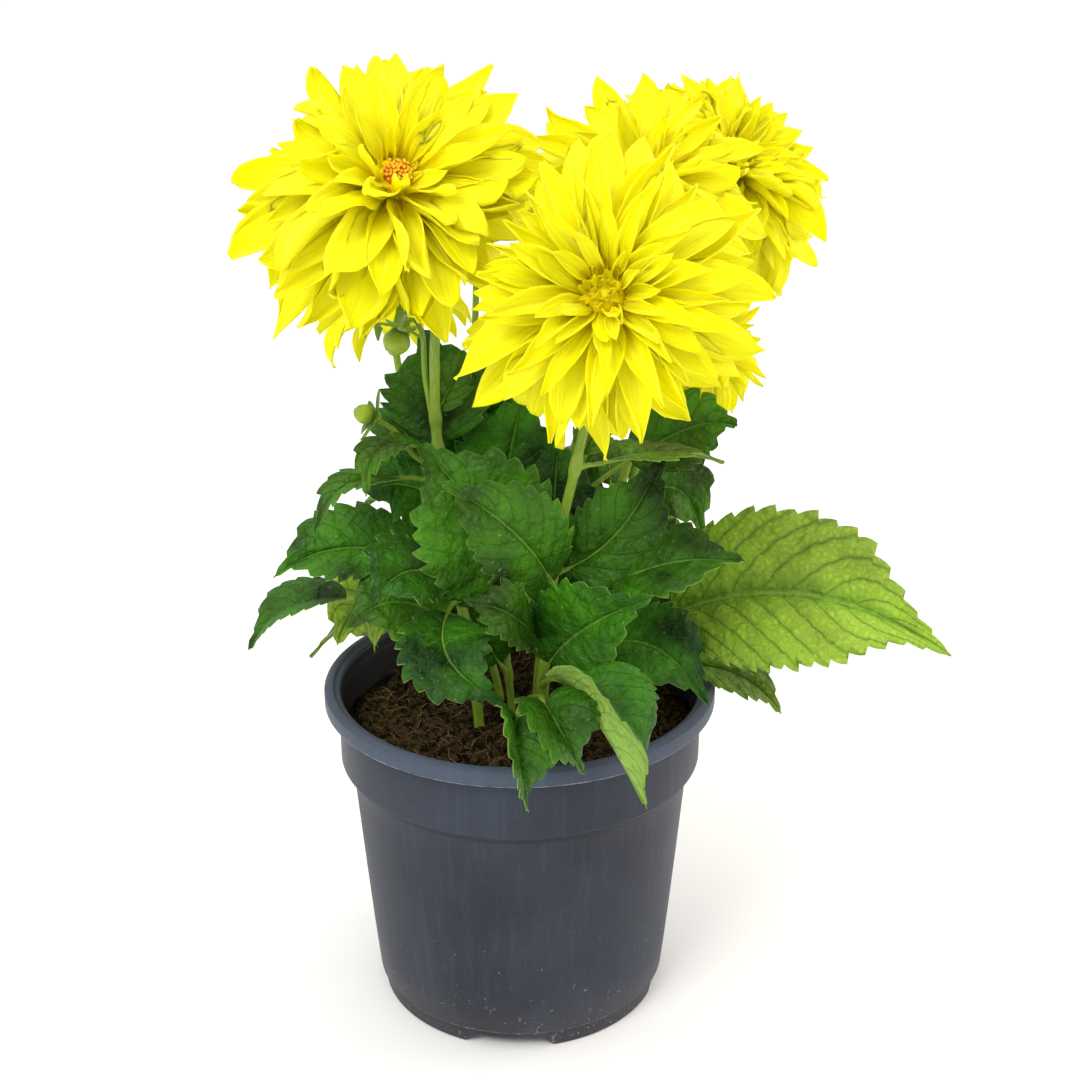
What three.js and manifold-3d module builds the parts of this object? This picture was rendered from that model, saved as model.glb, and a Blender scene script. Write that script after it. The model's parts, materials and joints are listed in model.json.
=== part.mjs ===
// A double yellow dahlia in a round nursery pot. Millimetres, +Z up. The origin is the middle of the pot's base,
// and -Y is the front.
import * as THREE from "three";
import { mergeVertices } from "three/addons/utils/BufferGeometryUtils.js";
import Module from "manifold-3d";

const wasm = await Module();
wasm.setup();

const GAP = 0.3; // between pieces that touch
const UP = new THREE.Vector3(0, 0, 1);

// Pot, injection moulded in one piece
const POT_HEIGHT = 166;
const RIM_RADIUS = 95;
const RIM_BAND = 8.5;
const SHOULDER_RADIUS = 88.6;
const SHOULDER_DROP = 37; // from the top of the rim to the step under the shoulder
const BODY_RADIUS = 82.6; // right under the step
const BASE_RADIUS = 72.6;
const FOOT_RADIUS = 70;
const FOOT_HEIGHT = 9;
const WALL = 2;
const FLOOR_Z = 4; // underside of the floor
const HUB_RADIUS = 16; // flat support in the middle of the base
const NOTCHES = 4; // gaps in the foot that let water out
const NOTCH_TURN = 13; // degrees of the first one from the front
const NOTCH_WIDTH = 27;
const NOTCH_HEIGHT = 2.6;
const DRAIN_HOLES = 6;
const DRAIN_RADIUS = 5;
const DRAIN_CIRCLE = 52;
const POT_SIDES = 32;

// Soil
const SOIL_Z = 142;
const SOIL_ROUGHNESS = 2.4;
const SOIL_SIDES = 16;
const SOCKET_DEPTH = 22; // of the plain hole that each stem stands in
const SOCKET_RADIUS = 3.4;

// Blades of leaves and petals
const LEAF_THICKNESS = 0.9;
const STALK_THICKNESS = 2;
const STALK_HALF = 1.2;
const PETAL_THICKNESS = 0.8;
const FOLD = 0.16; // rise of a leaf's edge over its rib, as a share of its half width
const TOOTH = 0.15; // depth of a tooth, as a share of the half width

// Stems: points from the soil up to the back of the bloom, and the radius at both ends
const STEMS = {
  front: { points: [[10, -15], [15, -32, 233], [25, -50, 293], [38, -74, 369]], radius: [2.6, 2.0] },
  left: { points: [[-20, -8], [-37, -14, 292], [-37, -22, 332], [-36, -32, 374], [-54, -42, 404]], radius: [2.7, 2.1] },
  back: { points: [[8, 12], [22, 16, 260], [50, 34, 345], [58, 47, 385]], radius: [2.5, 1.9] },
  right: { points: [[28, -2], [45, 20, 240], [84, 92, 336], [99, 114, 384]], radius: [2.5, 1.9] },
  low: { points: [[27, 17], [48, 28, 230], [67, 42, 292], [77, 50, 314]], radius: [2.3, 1.7] },
  rear: { points: [[-10, 20], [-57, 60, 296], [-60, 64, 312], [-60, 66, 324]], radius: [2.2, 1.7] },
  middle: { points: [[-4, 2], [-20, 25, 316], [-19.5, 30, 352]], radius: [2.0, 1.5] },
};

const STEM_SIDES = 5;

// Blooms: the way each one faces, the reach of its longest petals and the petals in each layer, outermost first
const BLOOMS = {
  front: { facing: [-0.2, -0.86, 0.46], reach: 76, layers: [9, 9, 7, 5, 3], disc: false },
  left: { facing: [0.22, -0.72, 0.66], reach: 79, layers: [9, 9, 7, 5, 3], disc: true },
  back: { facing: [-0.12, -0.62, 0.78], reach: 70, layers: [8, 7, 5, 3], disc: true },
  right: { facing: [0.58, -0.48, 0.66], reach: 68, layers: [8, 8, 7, 4], disc: false },
  low: { facing: [0.72, -0.42, 0.4], reach: 54, layers: [7, 6, 5], disc: false },
  rear: { facing: [-0.2, 0.42, 0.88], reach: 46, layers: [7, 6, 4], disc: false },
};
const CALYX_LENGTH = 9;
const BRACTS = 4;
const EYE_PETALS = 3; // small ones over the middle of a bloom that shows no florets
const FLORETS = 5;
const GOLDEN_ANGLE = 2.39996;
const PETAL_ROWS = [[0, 0.2], [0.4, 0.85], [0.76, 0.88]]; // share of the length and of the half width
const BRACT_ROWS = [[0, 0.6], [0.55, 1]];
const CLEARANCE = 0.9; // from the plane between two blooms
const STEM_CLEARANCE = 4.6;

// Buds: the stem that carries each, its stalk, the seat of its globe and the way that its point faces
const BUDS = {
  nodding: {
    on: "left", stalk: [[-38, -15, 297], [-41.5, -17.5, 322], [-42.5, -20, 344], [-46, -23.5, 350.5]], base: [-51, -26, 346.5],
    facing: [-0.35, -0.15, -0.93], radius: 5.8, length: 12,
  },
  small: {
    on: "left", stalk: [[-36, -14, 278], [-47, -12, 283], [-56, -13, 296]], base: [-65, -16, 303],
    facing: [-0.85, -0.25, 0.45], radius: 4.2, length: 10,
  },
  closed: {
    on: "middle", stalk: [[-19.6, 29.6, 346], [-20, 31, 356]], base: [-23, 35, 371],
    facing: [-0.2, 0.35, 0.9], radius: 8, length: 19,
  },
};
const SEPALS = 4;

// Leaves. Height of the node on the stem, heading in degrees from +X towards +Y, reach and rise from the node to
// the tip, share of the reach where the rib bends, lift and sideways sweep of that bend, share of the rib that is
// bare stalk, width, and degrees that the blade's face leans from upwards to the front
const LEAVES = {
  front: [
    [205, -20, 92, 44, 0.54, 58, -7, 0.3, 50, 25],
    [172, -59, 88, 77, 0.53, 50, -26, 0.22, 48, 60],
    [233, 15, 53, 56, 0.56, 15, -19, 0.12, 42, 70],
    [262, 11, 75, 22, 0.66, 60, -19, 0.15, 20, -10],
    [228, -149, 57, 61, 0.66, 48, 46, 0.08, 44, 62],
    [200, -169, 58, 98, 0.55, 74, 31, 0.14, 66, 66],
    [190, -125, 62, 48, 1.19, 60, 40, 0.2, 28, 50],
    [163, -94, 102, -3, 1.35, 73, -12, 0.45, 28, 35],
    [160, -80, 96, 14, 1.26, 75, -27, 0.4, 32, 50],
    [170, -68, 114, -5, 1.11, 84, -43, 0.3, 40, 20],
    [293, 40, 22, 22, 0.3, 14, -3, 0.15, 17, 60],
  ],
  left: [
    [287, -134, 44, -11, 0.9, 22, -7, 0.12, 20, 10],
    [270, -156, 62, -13, 0.85, 23, -3, 0.2, 24, 5],
    [262, 176, 34, 0, 0.85, 13, -5, 0.2, 32, 60],
    [222, -177, 86, 5, 0.6, 44, -3, 0.2, 54, 35],
    [200, 174, 106, -19, 0.8, 33, -12, 0.4, 36, -10],
    [195, 155, 72, -22, 0.9, 20, -12, 0.3, 48, 60],
    [192, -150, 62, 18, 0.65, 45, 8, 0.15, 50, 45],
    [218, -128, 60, 12, 0.7, 36, 6, 0.25, 40, 45],
    [214, -76, 92, -13, 0.95, 12, -42, 0.18, 46, 55],
    [285, 106, 26, 52, 0.5, 28, -6, 0.1, 50, 75],
    [303, 20, 14, 30, 0.6, 16, 0, 0.1, 18, 70],
  ],
  right: [
    [168, -11, 174, 23, 0.46, 83, 3, 0.26, 90, 35],
    [175, -44, 76, 0, 0.66, 46, -11, 0.2, 46, 35],
    [160, -1, 98, -13, 0.63, 34, 10, 0.4, 40, 15],
    [240, 90, 72, 5, 0.5, 36, 0, 0.22, 46, 0],
  ],
  low: [
    [205, -30, 37, 61, 1.5, 35, 8, 0.35, 18, 60],
    [235, 14, 50, -14, 0.73, 40, 1, 0.15, 46, 50],
    [185, 70, 98, -8, 0.55, 45, 0, 0.22, 54, -10],
  ],
  back: [
    [245, -7, 83, 47, 0.74, 58, 0, 0.3, 40, 45],
    [190, 92, 92, 0, 0.55, 50, 0, 0.22, 54, -15],
  ],
  rear: [
    [186, 171, 88, -29, 0.62, 14, 0, 0.35, 28, 0],
    [190, 128, 92, -4, 0.55, 48, 0, 0.22, 56, -10],
    [225, 155, 52, 4, 0.5, 34, 0, 0.2, 44, 0],
  ],
  middle: [
    [235, -16, 16, 75, 0.88, 47, -19, 0.12, 44, 75],
    [262, 65, 12, 66, 0, 47, 2, 0.12, 38, 75],
  ],
};

const materials = {
  pot: { color: "#4a4f5a", roughness: 0.62 },
  soil: { color: "#3a2a1f", roughness: 1 },
  leaf: { color: "#3d6b2b", roughness: 0.5 },
  petal: { color: "#f2e71e", roughness: 0.6 },
  disc: { color: "#e08a2a", roughness: 0.8 },
  bud: { color: "#a9b83a", roughness: 0.55 },
};

const vec = (x, y, z) => new THREE.Vector3(x, y, z);

// A repeatable stream of numbers from 0 to 1.
function stream(seed) {
  let state = seed;
  return () => {
    state = (state * 16807) % 2147483647;
    return state / 2147483647;
  };
}

// A closed surface as a solid that can be joined and cut. Faces that shrank to a line, as at a pole, are dropped.
function solid(geometry) {
  const bare = new THREE.BufferGeometry();
  bare.setAttribute("position", geometry.getAttribute("position"));
  bare.setIndex(geometry.getIndex());
  const merged = mergeVertices(bare, 1e-4);
  const corners = merged.index.array;
  const kept = [];
  for (let i = 0; i < corners.length; i += 3) {
    const [a, b, c] = corners.slice(i, i + 3);
    if (a !== b && b !== c && c !== a) kept.push(a, b, c);
  }
  const made = { numProp: 3, vertProperties: merged.attributes.position.array, triVerts: new Uint32Array(kept) };
  return new wasm.Manifold(new wasm.Mesh(made));
}

const join = (solids) => wasm.Manifold.union(solids);

// Points and faces as a geometry.
function surface(points, faces) {
  const geometry = new THREE.BufferGeometry();
  const flat = points.flatMap((p) => [p.x, p.y, p.z]);
  geometry.setAttribute("position", new THREE.Float32BufferAttribute(flat, 3));
  geometry.setIndex(faces.flat());
  return geometry;
}

// A profile of [radius, height] points turned about +Z, closed on the axis.
function turned(profile, sides) {
  const lathe = new THREE.LatheGeometry(profile.map(([r, z]) => new THREE.Vector2(r, z)), sides);
  return lathe.rotateX(Math.PI / 2);
}

// A round bar along a curve that tapers from its first radius to its last.
function bar(curve, [first, last], sides, steps) {
  const points = [];
  const faces = [];
  const { out } = frameOf(curve.getPoint(1).sub(curve.getPoint(0)).normalize());
  for (let i = 0; i <= steps; i++) {
    const middle = curve.getPoint(i / steps);
    const tangent = curve.getTangent(i / steps);
    const across = out(0).addScaledVector(tangent, -out(0).dot(tangent)).normalize();
    const radius = first + ((last - first) * i) / steps;
    for (let k = 0; k < sides; k++) {
      const side = across.clone().applyAxisAngle(tangent, (2 * Math.PI * k) / sides);
      points.push(middle.clone().addScaledVector(side, radius));
    }
  }
  for (let i = 0; i < steps; i++) {
    for (let k = 0; k < sides; k++) {
      const a = i * sides + k;
      const b = i * sides + ((k + 1) % sides);
      faces.push([a, b, b + sides], [a, b + sides, a + sides]);
    }
  }
  for (let k = 1; k < sides - 1; k++) {
    const top = steps * sides;
    faces.push([0, k + 1, k], [top, top + k, top + k + 1]);
  }
  return solid(surface(points, faces));
}

// A blade: rows of points across its upper face from root to tip, the tip itself, and the thickness downwards at
// each row. Both faces are split into triangles alike.
function blade(rows, downs, tip, tipDown) {
  const across = rows[0].length;
  const last = rows.length - 1;
  const upper = rows.flat().concat([tip]);
  const lower = rows.flatMap((row, i) => row.map((p) => p.clone().add(downs[i])));
  lower.push(tip.clone().add(tipDown));
  const under = upper.length;
  const end = under - 1;
  const faces = [];
  const both = (a, b, c) => faces.push([a, b, c], [a + under, c + under, b + under]);
  const edge = (a, b) => faces.push([a, a + under, b + under], [a, b + under, b]);
  for (let i = 0; i < last; i++) {
    for (let j = 0; j < across - 1; j++) {
      const a = i * across + j;
      if (j * 2 < across - 1) {
        both(a, a + 1, a + across);
        both(a + 1, a + across + 1, a + across);
      } else {
        both(a, a + 1, a + across + 1);
        both(a, a + across + 1, a + across);
      }
    }
    edge((i + 1) * across, i * across);
    edge(i * across + across - 1, (i + 1) * across + across - 1);
  }
  for (let j = 0; j < across - 1; j++) {
    both(last * across + j, last * across + j + 1, end);
    edge(j, j + 1);
  }
  edge(end, last * across);
  edge(last * across + across - 1, end);
  return solid(surface(upper.concat(lower), faces));
}

// The curve of a stem, which stands upright in its socket.
function stemCurve(name) {
  const [[x, y], ...rest] = STEMS[name].points;
  const foot = [vec(x, y, SOIL_Z - SOCKET_DEPTH + GAP), vec(x, y, SOIL_Z + SOIL_ROUGHNESS)];
  return new THREE.CatmullRomCurve3(foot.concat(rest.map((point) => vec(...point))));
}

// The point of a stem at a height.
function pointOnStem(curve, height) {
  let low = 0;
  let high = 1;
  for (let i = 0; i < 24; i++) {
    const middle = (low + high) / 2;
    if (curve.getPoint(middle).z < height) low = middle;
    else high = middle;
  }
  return curve.getPoint(low);
}

// Half width of a leaf along its blade: egg shaped with a drawn-out tip, 1 at the widest.
const leafOutline = (u) => 2.62 * u ** 0.55 * (1 - u) ** 0.9;

// A leaf in one piece: a thin stalk from inside the stem, then a folded blade with teeth that point forward.
function leaf(curve, row) {
  const [height, heading, reach, rise, bendAt, lift, sweep, stalk, width, tilt] = row;
  const angle = THREE.MathUtils.degToRad(heading);
  const along = vec(Math.cos(angle), Math.sin(angle), 0);
  const aside = vec(-Math.sin(angle), Math.cos(angle), 0);
  const root = pointOnStem(curve, height);
  const tip = root.clone().addScaledVector(along, reach).addScaledVector(UP, rise);
  const bend = root.clone().addScaledVector(along, reach * bendAt);
  bend.addScaledVector(aside, sweep).addScaledVector(UP, lift);
  const rib = new THREE.QuadraticBezierCurve3(root, bend, tip);
  const face = UP.clone().applyAxisAngle(vec(1, 0, 0), THREE.MathUtils.degToRad(tilt));
  const rows = [];
  const downs = [];
  const addRow = (s, half, thickness) => {
    const tangent = rib.getTangent(s);
    const side = tangent.clone().cross(face).normalize();
    const normal = side.clone().cross(tangent);
    const middle = rib.getPoint(s);
    const edgeAt = (sign) =>
      middle.clone().addScaledVector(side, sign * half).addScaledVector(normal, FOLD * half);
    rows.push([edgeAt(-1), middle, edgeAt(1)]);
    downs.push(normal.multiplyScalar(-thickness));
  };
  addRow(0, STALK_HALF, STALK_THICKNESS);
  addRow(stalk, STALK_HALF, STALK_THICKNESS);
  const teeth = width > 80 ? 7 : width > 48 ? 3 : 2;
  const addBladeRow = (u, share) =>
    addRow(stalk + (1 - stalk) * u, (width / 2) * leafOutline(u) * share, LEAF_THICKNESS);
  for (let k = 0; k < teeth; k++) {
    addBladeRow((k + 0.85) / (teeth + 0.35), 1 + TOOTH / 2);
    addBladeRow((k + 1.05) / (teeth + 0.35), 1 - TOOTH);
  }
  return blade(rows, downs, tip, downs.at(-1));
}

// A bloom's calyx: a small cup with bracts that lie back, under the petals.
function calyx(base, facing) {
  const cup = turned([[0, 0], [2.4, 0.5], [8.2, 6], [8.8, CALYX_LENGTH], [0, CALYX_LENGTH]], 8);
  const made = [placed(solid(cup), base, facing)];
  const { out } = frameOf(facing);
  for (let k = 0; k < BRACTS; k++) {
    const radial = out((2 * Math.PI * (k + 0.3)) / BRACTS);
    const root = base.clone().addScaledVector(facing, CALYX_LENGTH - 3).addScaledVector(radial, 5);
    const bend = root.clone().addScaledVector(radial, 8);
    const tip = bend.clone().addScaledVector(facing, -9).addScaledVector(radial, 3);
    made.push(petalBlade(BRACT_ROWS, root, bend, tip, radial, facing, 6, 0));
  }
  return made;
}

// Directions square to an axis: out(turn) goes round it.
function frameOf(axis) {
  const first = Math.abs(axis.z) > 0.95 ? vec(1, 0, 0) : UP.clone();
  first.addScaledVector(axis, -first.dot(axis)).normalize();
  const second = axis.clone().cross(first);
  const out = (turn) => first.clone().multiplyScalar(Math.cos(turn)).addScaledVector(second, Math.sin(turn));
  return { out };
}

// A solid made about +Z, moved so that +Z points along an axis from a base point.
function placed(made, base, axis) {
  const turn = new THREE.Quaternion().setFromUnitVectors(UP, axis);
  const matrix = new THREE.Matrix4().compose(base, turn, vec(1, 1, 1));
  return made.transform(matrix.elements);
}

// A petal or bract: a flat blade along a bent rib, widest past its middle.
function petalBlade(form, root, bend, tip, radial, facing, width, twist) {
  const rib = new THREE.QuadraticBezierCurve3(root, bend, tip);
  const level = facing.clone().cross(radial);
  const rows = [];
  const downs = [];
  for (const [t, share] of form) {
    const tangent = rib.getTangent(t);
    const side = level.clone().applyAxisAngle(tangent, twist * t);
    const normal = tangent.clone().cross(side).normalize();
    const middle = rib.getPoint(t);
    const half = (width / 2) * share;
    rows.push([middle.clone().addScaledVector(side, half), middle.clone().addScaledVector(side, -half)]);
    downs.push(normal.multiplyScalar(-PETAL_THICKNESS));
  }
  return blade(rows, downs, tip, downs.at(-1));
}

// The middle of a bloom's core, right in front of its calyx.
function bloomCentre(name) {
  const facing = vec(...BLOOMS[name].facing).normalize();
  const base = vec(...STEMS[name].points.at(-1));
  return { facing, base, centre: base.clone().addScaledVector(facing, CALYX_LENGTH + GAP + 5) };
}

// How far a bloom may reach towards each of its neighbours: planes between them, as a point and a direction.
function neighbourPlanes(name) {
  const { centre } = bloomCentre(name);
  const reach = BLOOMS[name].reach;
  const planes = [];
  for (const other of Object.keys(BLOOMS)) {
    if (other === name) continue;
    const towards = bloomCentre(other).centre.sub(centre);
    const distance = towards.length();
    const share = (distance ** 2 + reach ** 2 - BLOOMS[other].reach ** 2) / (2 * distance);
    towards.normalize();
    planes.push({ point: centre.clone().addScaledVector(towards, share - CLEARANCE), towards });
  }
  return planes;
}

const stemSamples = () => Object.keys(STEMS).flatMap((name) => stemCurve(name).getSpacedPoints(40));

// A bloom: petals in layers round a small core. A petal that would touch a stem or a neighbouring bloom is
// lifted and shortened until it is clear.
function bloom(name, seed) {
  const { facing, centre } = bloomCentre(name);
  const { reach, layers, disc } = BLOOMS[name];
  const { out } = frameOf(facing);
  const draw = stream(seed);
  const planes = neighbourPlanes(name);
  const stems = stemSamples();
  const clear = (points) =>
    points.every((p) => planes.every((plane) => p.clone().sub(plane.point).dot(plane.towards) < 0)) &&
    points.slice(1).every((p) => stems.every((q) => p.distanceTo(q) > STEM_CLEARANCE));
  const core = turned([[0, -5], [8, -5], [11, 0], [9, 6], [6.2, 8], [0, 8]], 8);
  const made = [placed(solid(core), centre, facing)];
  const lay = (turn, share, length, width, ringRadius) => {
    const radial = out(turn);
    const lean = (degrees) => {
      const angle = THREE.MathUtils.degToRad(degrees);
      return radial.clone().multiplyScalar(Math.cos(angle)).addScaledVector(facing, Math.sin(angle));
    };
    const jitter = (draw() - 0.5) * 5;
    let rootLean = -22 + 98 * share + jitter;
    let tipLean = -68 + 128 * share + jitter;
    const twist = (draw() - 0.5) * 0.5;
    let long = length * (0.94 + 0.12 * draw());
    const root = centre.clone().addScaledVector(radial, ringRadius).addScaledVector(facing, -2.5 + 7 * share);
    for (let tries = 0; tries < 14; tries++) {
      const bend = root.clone().addScaledVector(lean(rootLean), long / 2);
      const tip = bend.clone().addScaledVector(lean(tipLean), long / 2);
      const side = facing.clone().cross(radial).multiplyScalar(width / 2);
      const check = [root, root.clone().lerp(bend, 0.6), bend, bend.clone().lerp(tip, 0.5), tip];
      const flanks = check.slice(2).flatMap((p) => [p.clone().add(side), p.clone().sub(side)]);
      if (clear(check.concat(flanks))) {
        made.push(petalBlade(PETAL_ROWS, root, bend, tip, radial, facing, width, twist));
        return;
      }
      rootLean += 3;
      tipLean += 5;
      long *= 0.93;
    }
  };
  layers.forEach((count, layer) => {
    const share = layer / (layers.length - 0.4);
    const length = (reach - 7) * (1 - 0.62 * share ** 1.5);
    const width = Math.min(length * 0.34, 19);
    for (let k = 0; k < count; k++) {
      lay((2 * Math.PI * (k + 0.5 * (layer % 2))) / count + (draw() - 0.5) * 0.12, share, length, width, 7.2);
    }
  });
  if (!disc) for (let k = 0; k < EYE_PETALS; k++) lay((2 * Math.PI * k) / EYE_PETALS, 0.98, 13, 5, 3);
  return join(made);
}

// The florets in the open middle of a bloom: a low dome set with small points.
function floretDisc(name) {
  const { facing, centre } = bloomCentre(name);
  const base = centre.clone().addScaledVector(facing, 8 + GAP);
  const dome = turned([[0, 0], [5.4, 0], [4.6, 2], [2.4, 3.4], [0, 3.6]], 8);
  const made = [solid(dome)];
  for (let k = 0; k < FLORETS; k++) {
    const turn = k * GOLDEN_ANGLE;
    const r = 4.4 * Math.sqrt((k + 0.5) / FLORETS);
    const root = vec(r * Math.cos(turn), r * Math.sin(turn), 1);
    const end = vec(r * 1.15 * Math.cos(turn), r * 1.15 * Math.sin(turn), 6.6 - r * 0.45);
    made.push(bar(new THREE.LineCurve3(root, end), [0.9, 0.45], 3, 1));
  }
  return placed(join(made), base, facing);
}

// A closed bud: a globe of sepals drawn to a point.
function bud(name) {
  const { base, facing, radius, length } = BUDS[name];
  const r = radius;
  const profile = [[0, 0], [r * 0.45, 0.2], [r * 0.93, length * 0.3], [r, length * 0.5], [r * 0.7, length * 0.8]];
  const globe = turned([...profile, [r * 0.2, length * 0.97], [0, length]], 8);
  const axis = vec(...facing).normalize();
  const { out } = frameOf(UP);
  const made = [solid(globe)];
  for (let k = 0; k < SEPALS; k++) {
    const radial = out((2 * Math.PI * k) / SEPALS);
    const root = radial.clone().multiplyScalar(r * 0.3).addScaledVector(UP, length * 0.2);
    const bend = radial.clone().multiplyScalar(r * 1.25).addScaledVector(UP, length * 0.5);
    const tip = radial.clone().multiplyScalar(r * 0.62).addScaledVector(UP, length * 0.98);
    made.push(petalBlade(BRACT_ROWS, root, bend, tip, radial, UP, r * 0.8, 0));
  }
  return placed(join(made), vec(...base).addScaledVector(axis, GAP), axis);
}

// The stalk that carries a bud, with its cup and bracts.
function budStalk(name) {
  const { stalk, base, facing, radius } = BUDS[name];
  const axis = vec(...facing).normalize();
  const seat = vec(...base);
  const points = stalk.map(([x, y, z]) => vec(x, y, z));
  points.push(seat.clone().addScaledVector(axis, -1));
  const made = [bar(new THREE.CatmullRomCurve3(points), [1.3, 1.1], 5, 6)];
  const cup = turned([[0, -2.4], [1.2, -2.2], [radius * 0.5, -0.4], [radius * 0.5, 0], [0, 0]], 8);
  made.push(placed(solid(cup), seat, axis));
  const { out } = frameOf(axis);
  for (let k = 0; k < BRACTS; k++) {
    const radial = out((2 * Math.PI * k) / BRACTS);
    const root = seat.clone().addScaledVector(axis, -1.2).addScaledVector(radial, 0.8);
    const bend = root.clone().addScaledVector(radial, radius * 1.1).addScaledVector(axis, -0.5);
    const tip = bend.clone().addScaledVector(radial, radius * 0.6).addScaledVector(axis, -radius * 0.7);
    made.push(petalBlade(BRACT_ROWS, root, bend, tip, radial, axis, radius * 0.6, 0));
  }
  return made;
}

function leafyStem(name) {
  const curve = stemCurve(name);
  const made = [bar(curve, STEMS[name].radius, STEM_SIDES, 2 * (curve.points.length - 1))];
  for (const row of LEAVES[name]) made.push(leaf(curve, row));
  if (BLOOMS[name]) {
    const { base, facing } = bloomCentre(name);
    made.push(...calyx(base, facing));
  }
  for (const key of Object.keys(BUDS)) if (BUDS[key].on === name) made.push(...budStalk(key));
  return join(made);
}

// The pot: a turned wall with rim, shoulder and foot, less the foot's notches and the drain holes.
function pot() {
  const step = POT_HEIGHT - SHOULDER_DROP;
  const bandFoot = POT_HEIGHT - RIM_BAND;
  const outside = [
    [0, 0], [HUB_RADIUS, 0], [HUB_RADIUS, FLOOR_Z], [FOOT_RADIUS - WALL, FLOOR_Z], [FOOT_RADIUS - WALL, 0],
    [FOOT_RADIUS, 0], [FOOT_RADIUS + 0.4, FOOT_HEIGHT], [BASE_RADIUS, FOOT_HEIGHT + 1],
    [BODY_RADIUS, step - 6], [BODY_RADIUS + 2.6, step - 2.8], [SHOULDER_RADIUS - 1.2, step],
    [SHOULDER_RADIUS, bandFoot], [RIM_RADIUS, bandFoot], [RIM_RADIUS, POT_HEIGHT - 1.8],
    [RIM_RADIUS - 2, POT_HEIGHT], [RIM_RADIUS - 3.8, POT_HEIGHT],
  ];
  const inside = [
    [SHOULDER_RADIUS - WALL + 0.6, POT_HEIGHT - 3], [SHOULDER_RADIUS - WALL - 1, step + 2],
    [BODY_RADIUS - WALL, step - 7],
    [BASE_RADIUS - WALL - 0.4, FLOOR_Z + WALL + 3], [BASE_RADIUS - WALL - 3, FLOOR_Z + WALL], [0, FLOOR_Z + WALL],
  ];
  let made = solid(turned([...outside, ...inside], POT_SIDES));
  for (let k = 0; k < NOTCHES; k++) {
    const notch = new THREE.BoxGeometry(NOTCH_WIDTH, 14, NOTCH_HEIGHT * 2);
    notch.translate(0, -FOOT_RADIUS, 0).rotateZ(-THREE.MathUtils.degToRad(NOTCH_TURN) + (2 * Math.PI * k) / NOTCHES);
    made = made.subtract(solid(notch));
  }
  for (let k = 0; k < DRAIN_HOLES; k++) {
    const turn = (2 * Math.PI * (k + 0.5)) / DRAIN_HOLES;
    const hole = new THREE.CylinderGeometry(DRAIN_RADIUS, DRAIN_RADIUS, WALL * 3, 8).rotateX(Math.PI / 2);
    hole.translate(DRAIN_CIRCLE * Math.cos(turn), DRAIN_CIRCLE * Math.sin(turn), FLOOR_Z + WALL / 2);
    made = made.subtract(solid(hole));
  }
  return made;
}

// Height of the crumbly soil over its mean level.
const crumble = (x, y) => SOIL_ROUGHNESS * (0.5 * Math.sin(x * 0.21 + 1.3) * Math.cos(y * 0.17) +
  0.5 * Math.sin(x * 0.47 - y * 0.39 + 0.6));

// The soil: it fills the pot up to its level, with a plain hole for each stem.
function soil() {
  const step = POT_HEIGHT - SHOULDER_DROP;
  const inset = WALL + GAP;
  const profile = [
    [0, FLOOR_Z + WALL + GAP], [BASE_RADIUS - inset - 3.2, FLOOR_Z + WALL + GAP],
    [BASE_RADIUS - inset - 0.4, FLOOR_Z + WALL + 3.4], [BODY_RADIUS - inset, step - 7],
    [SHOULDER_RADIUS - inset - 1, step + 2.2], [SHOULDER_RADIUS - inset - 0.8, SOIL_Z - 1],
  ];
  for (const share of [0.84, 0.62, 0.36, 0]) profile.push([SHOULDER_RADIUS * share, SOIL_Z]);
  const geometry = turned(profile, SOIL_SIDES);
  const place = geometry.getAttribute("position");
  for (let i = 0; i < place.count; i++) {
    if (place.getZ(i) < SOIL_Z - 0.01) continue;
    place.setZ(i, SOIL_Z + crumble(place.getX(i), place.getY(i)));
  }
  let made = solid(geometry);
  for (const name of Object.keys(STEMS)) {
    const [x, y] = STEMS[name].points[0];
    const socket = new THREE.CylinderGeometry(SOCKET_RADIUS, SOCKET_RADIUS, SOCKET_DEPTH * 2, 8).rotateX(Math.PI / 2);
    made = made.subtract(solid(socket.translate(x, y, SOIL_Z)));
  }
  return made;
}

function mesh(name, made, material) {
  const parts = made.getMesh();
  const geometry = new THREE.BufferGeometry();
  geometry.setAttribute("position", new THREE.BufferAttribute(parts.vertProperties, 3));
  geometry.setIndex(new THREE.BufferAttribute(parts.triVerts, 1));
  geometry.computeVertexNormals();
  const piece = new THREE.Mesh(geometry, new THREE.MeshStandardMaterial({ ...materials[material], metalness: 0 }));
  piece.name = name;
  return piece;
}

const plant = new THREE.Group();
plant.add(mesh("pot", pot(), "pot"), mesh("soil", soil(), "soil"));
for (const name of Object.keys(STEMS)) plant.add(mesh("stem_" + name, leafyStem(name), "leaf"));
Object.keys(BLOOMS).forEach((name, i) => {
  plant.add(mesh("bloom_" + name, bloom(name, 11 + i), "petal"));
  if (BLOOMS[name].disc) plant.add(mesh("disc_" + name, floretDisc(name), "disc"));
});
for (const name of Object.keys(BUDS)) plant.add(mesh("bud_" + name, bud(name), "bud"));

export default plant;
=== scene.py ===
"""A double yellow dahlia in bloom in a round nursery pot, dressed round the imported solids.

Lengths in the tables are millimetres and become metres where a mesh is made. -Y is the front.
"""
import json
import math
import random

import bmesh
import bpy
from mathutils import Matrix, Vector, noise

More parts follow.
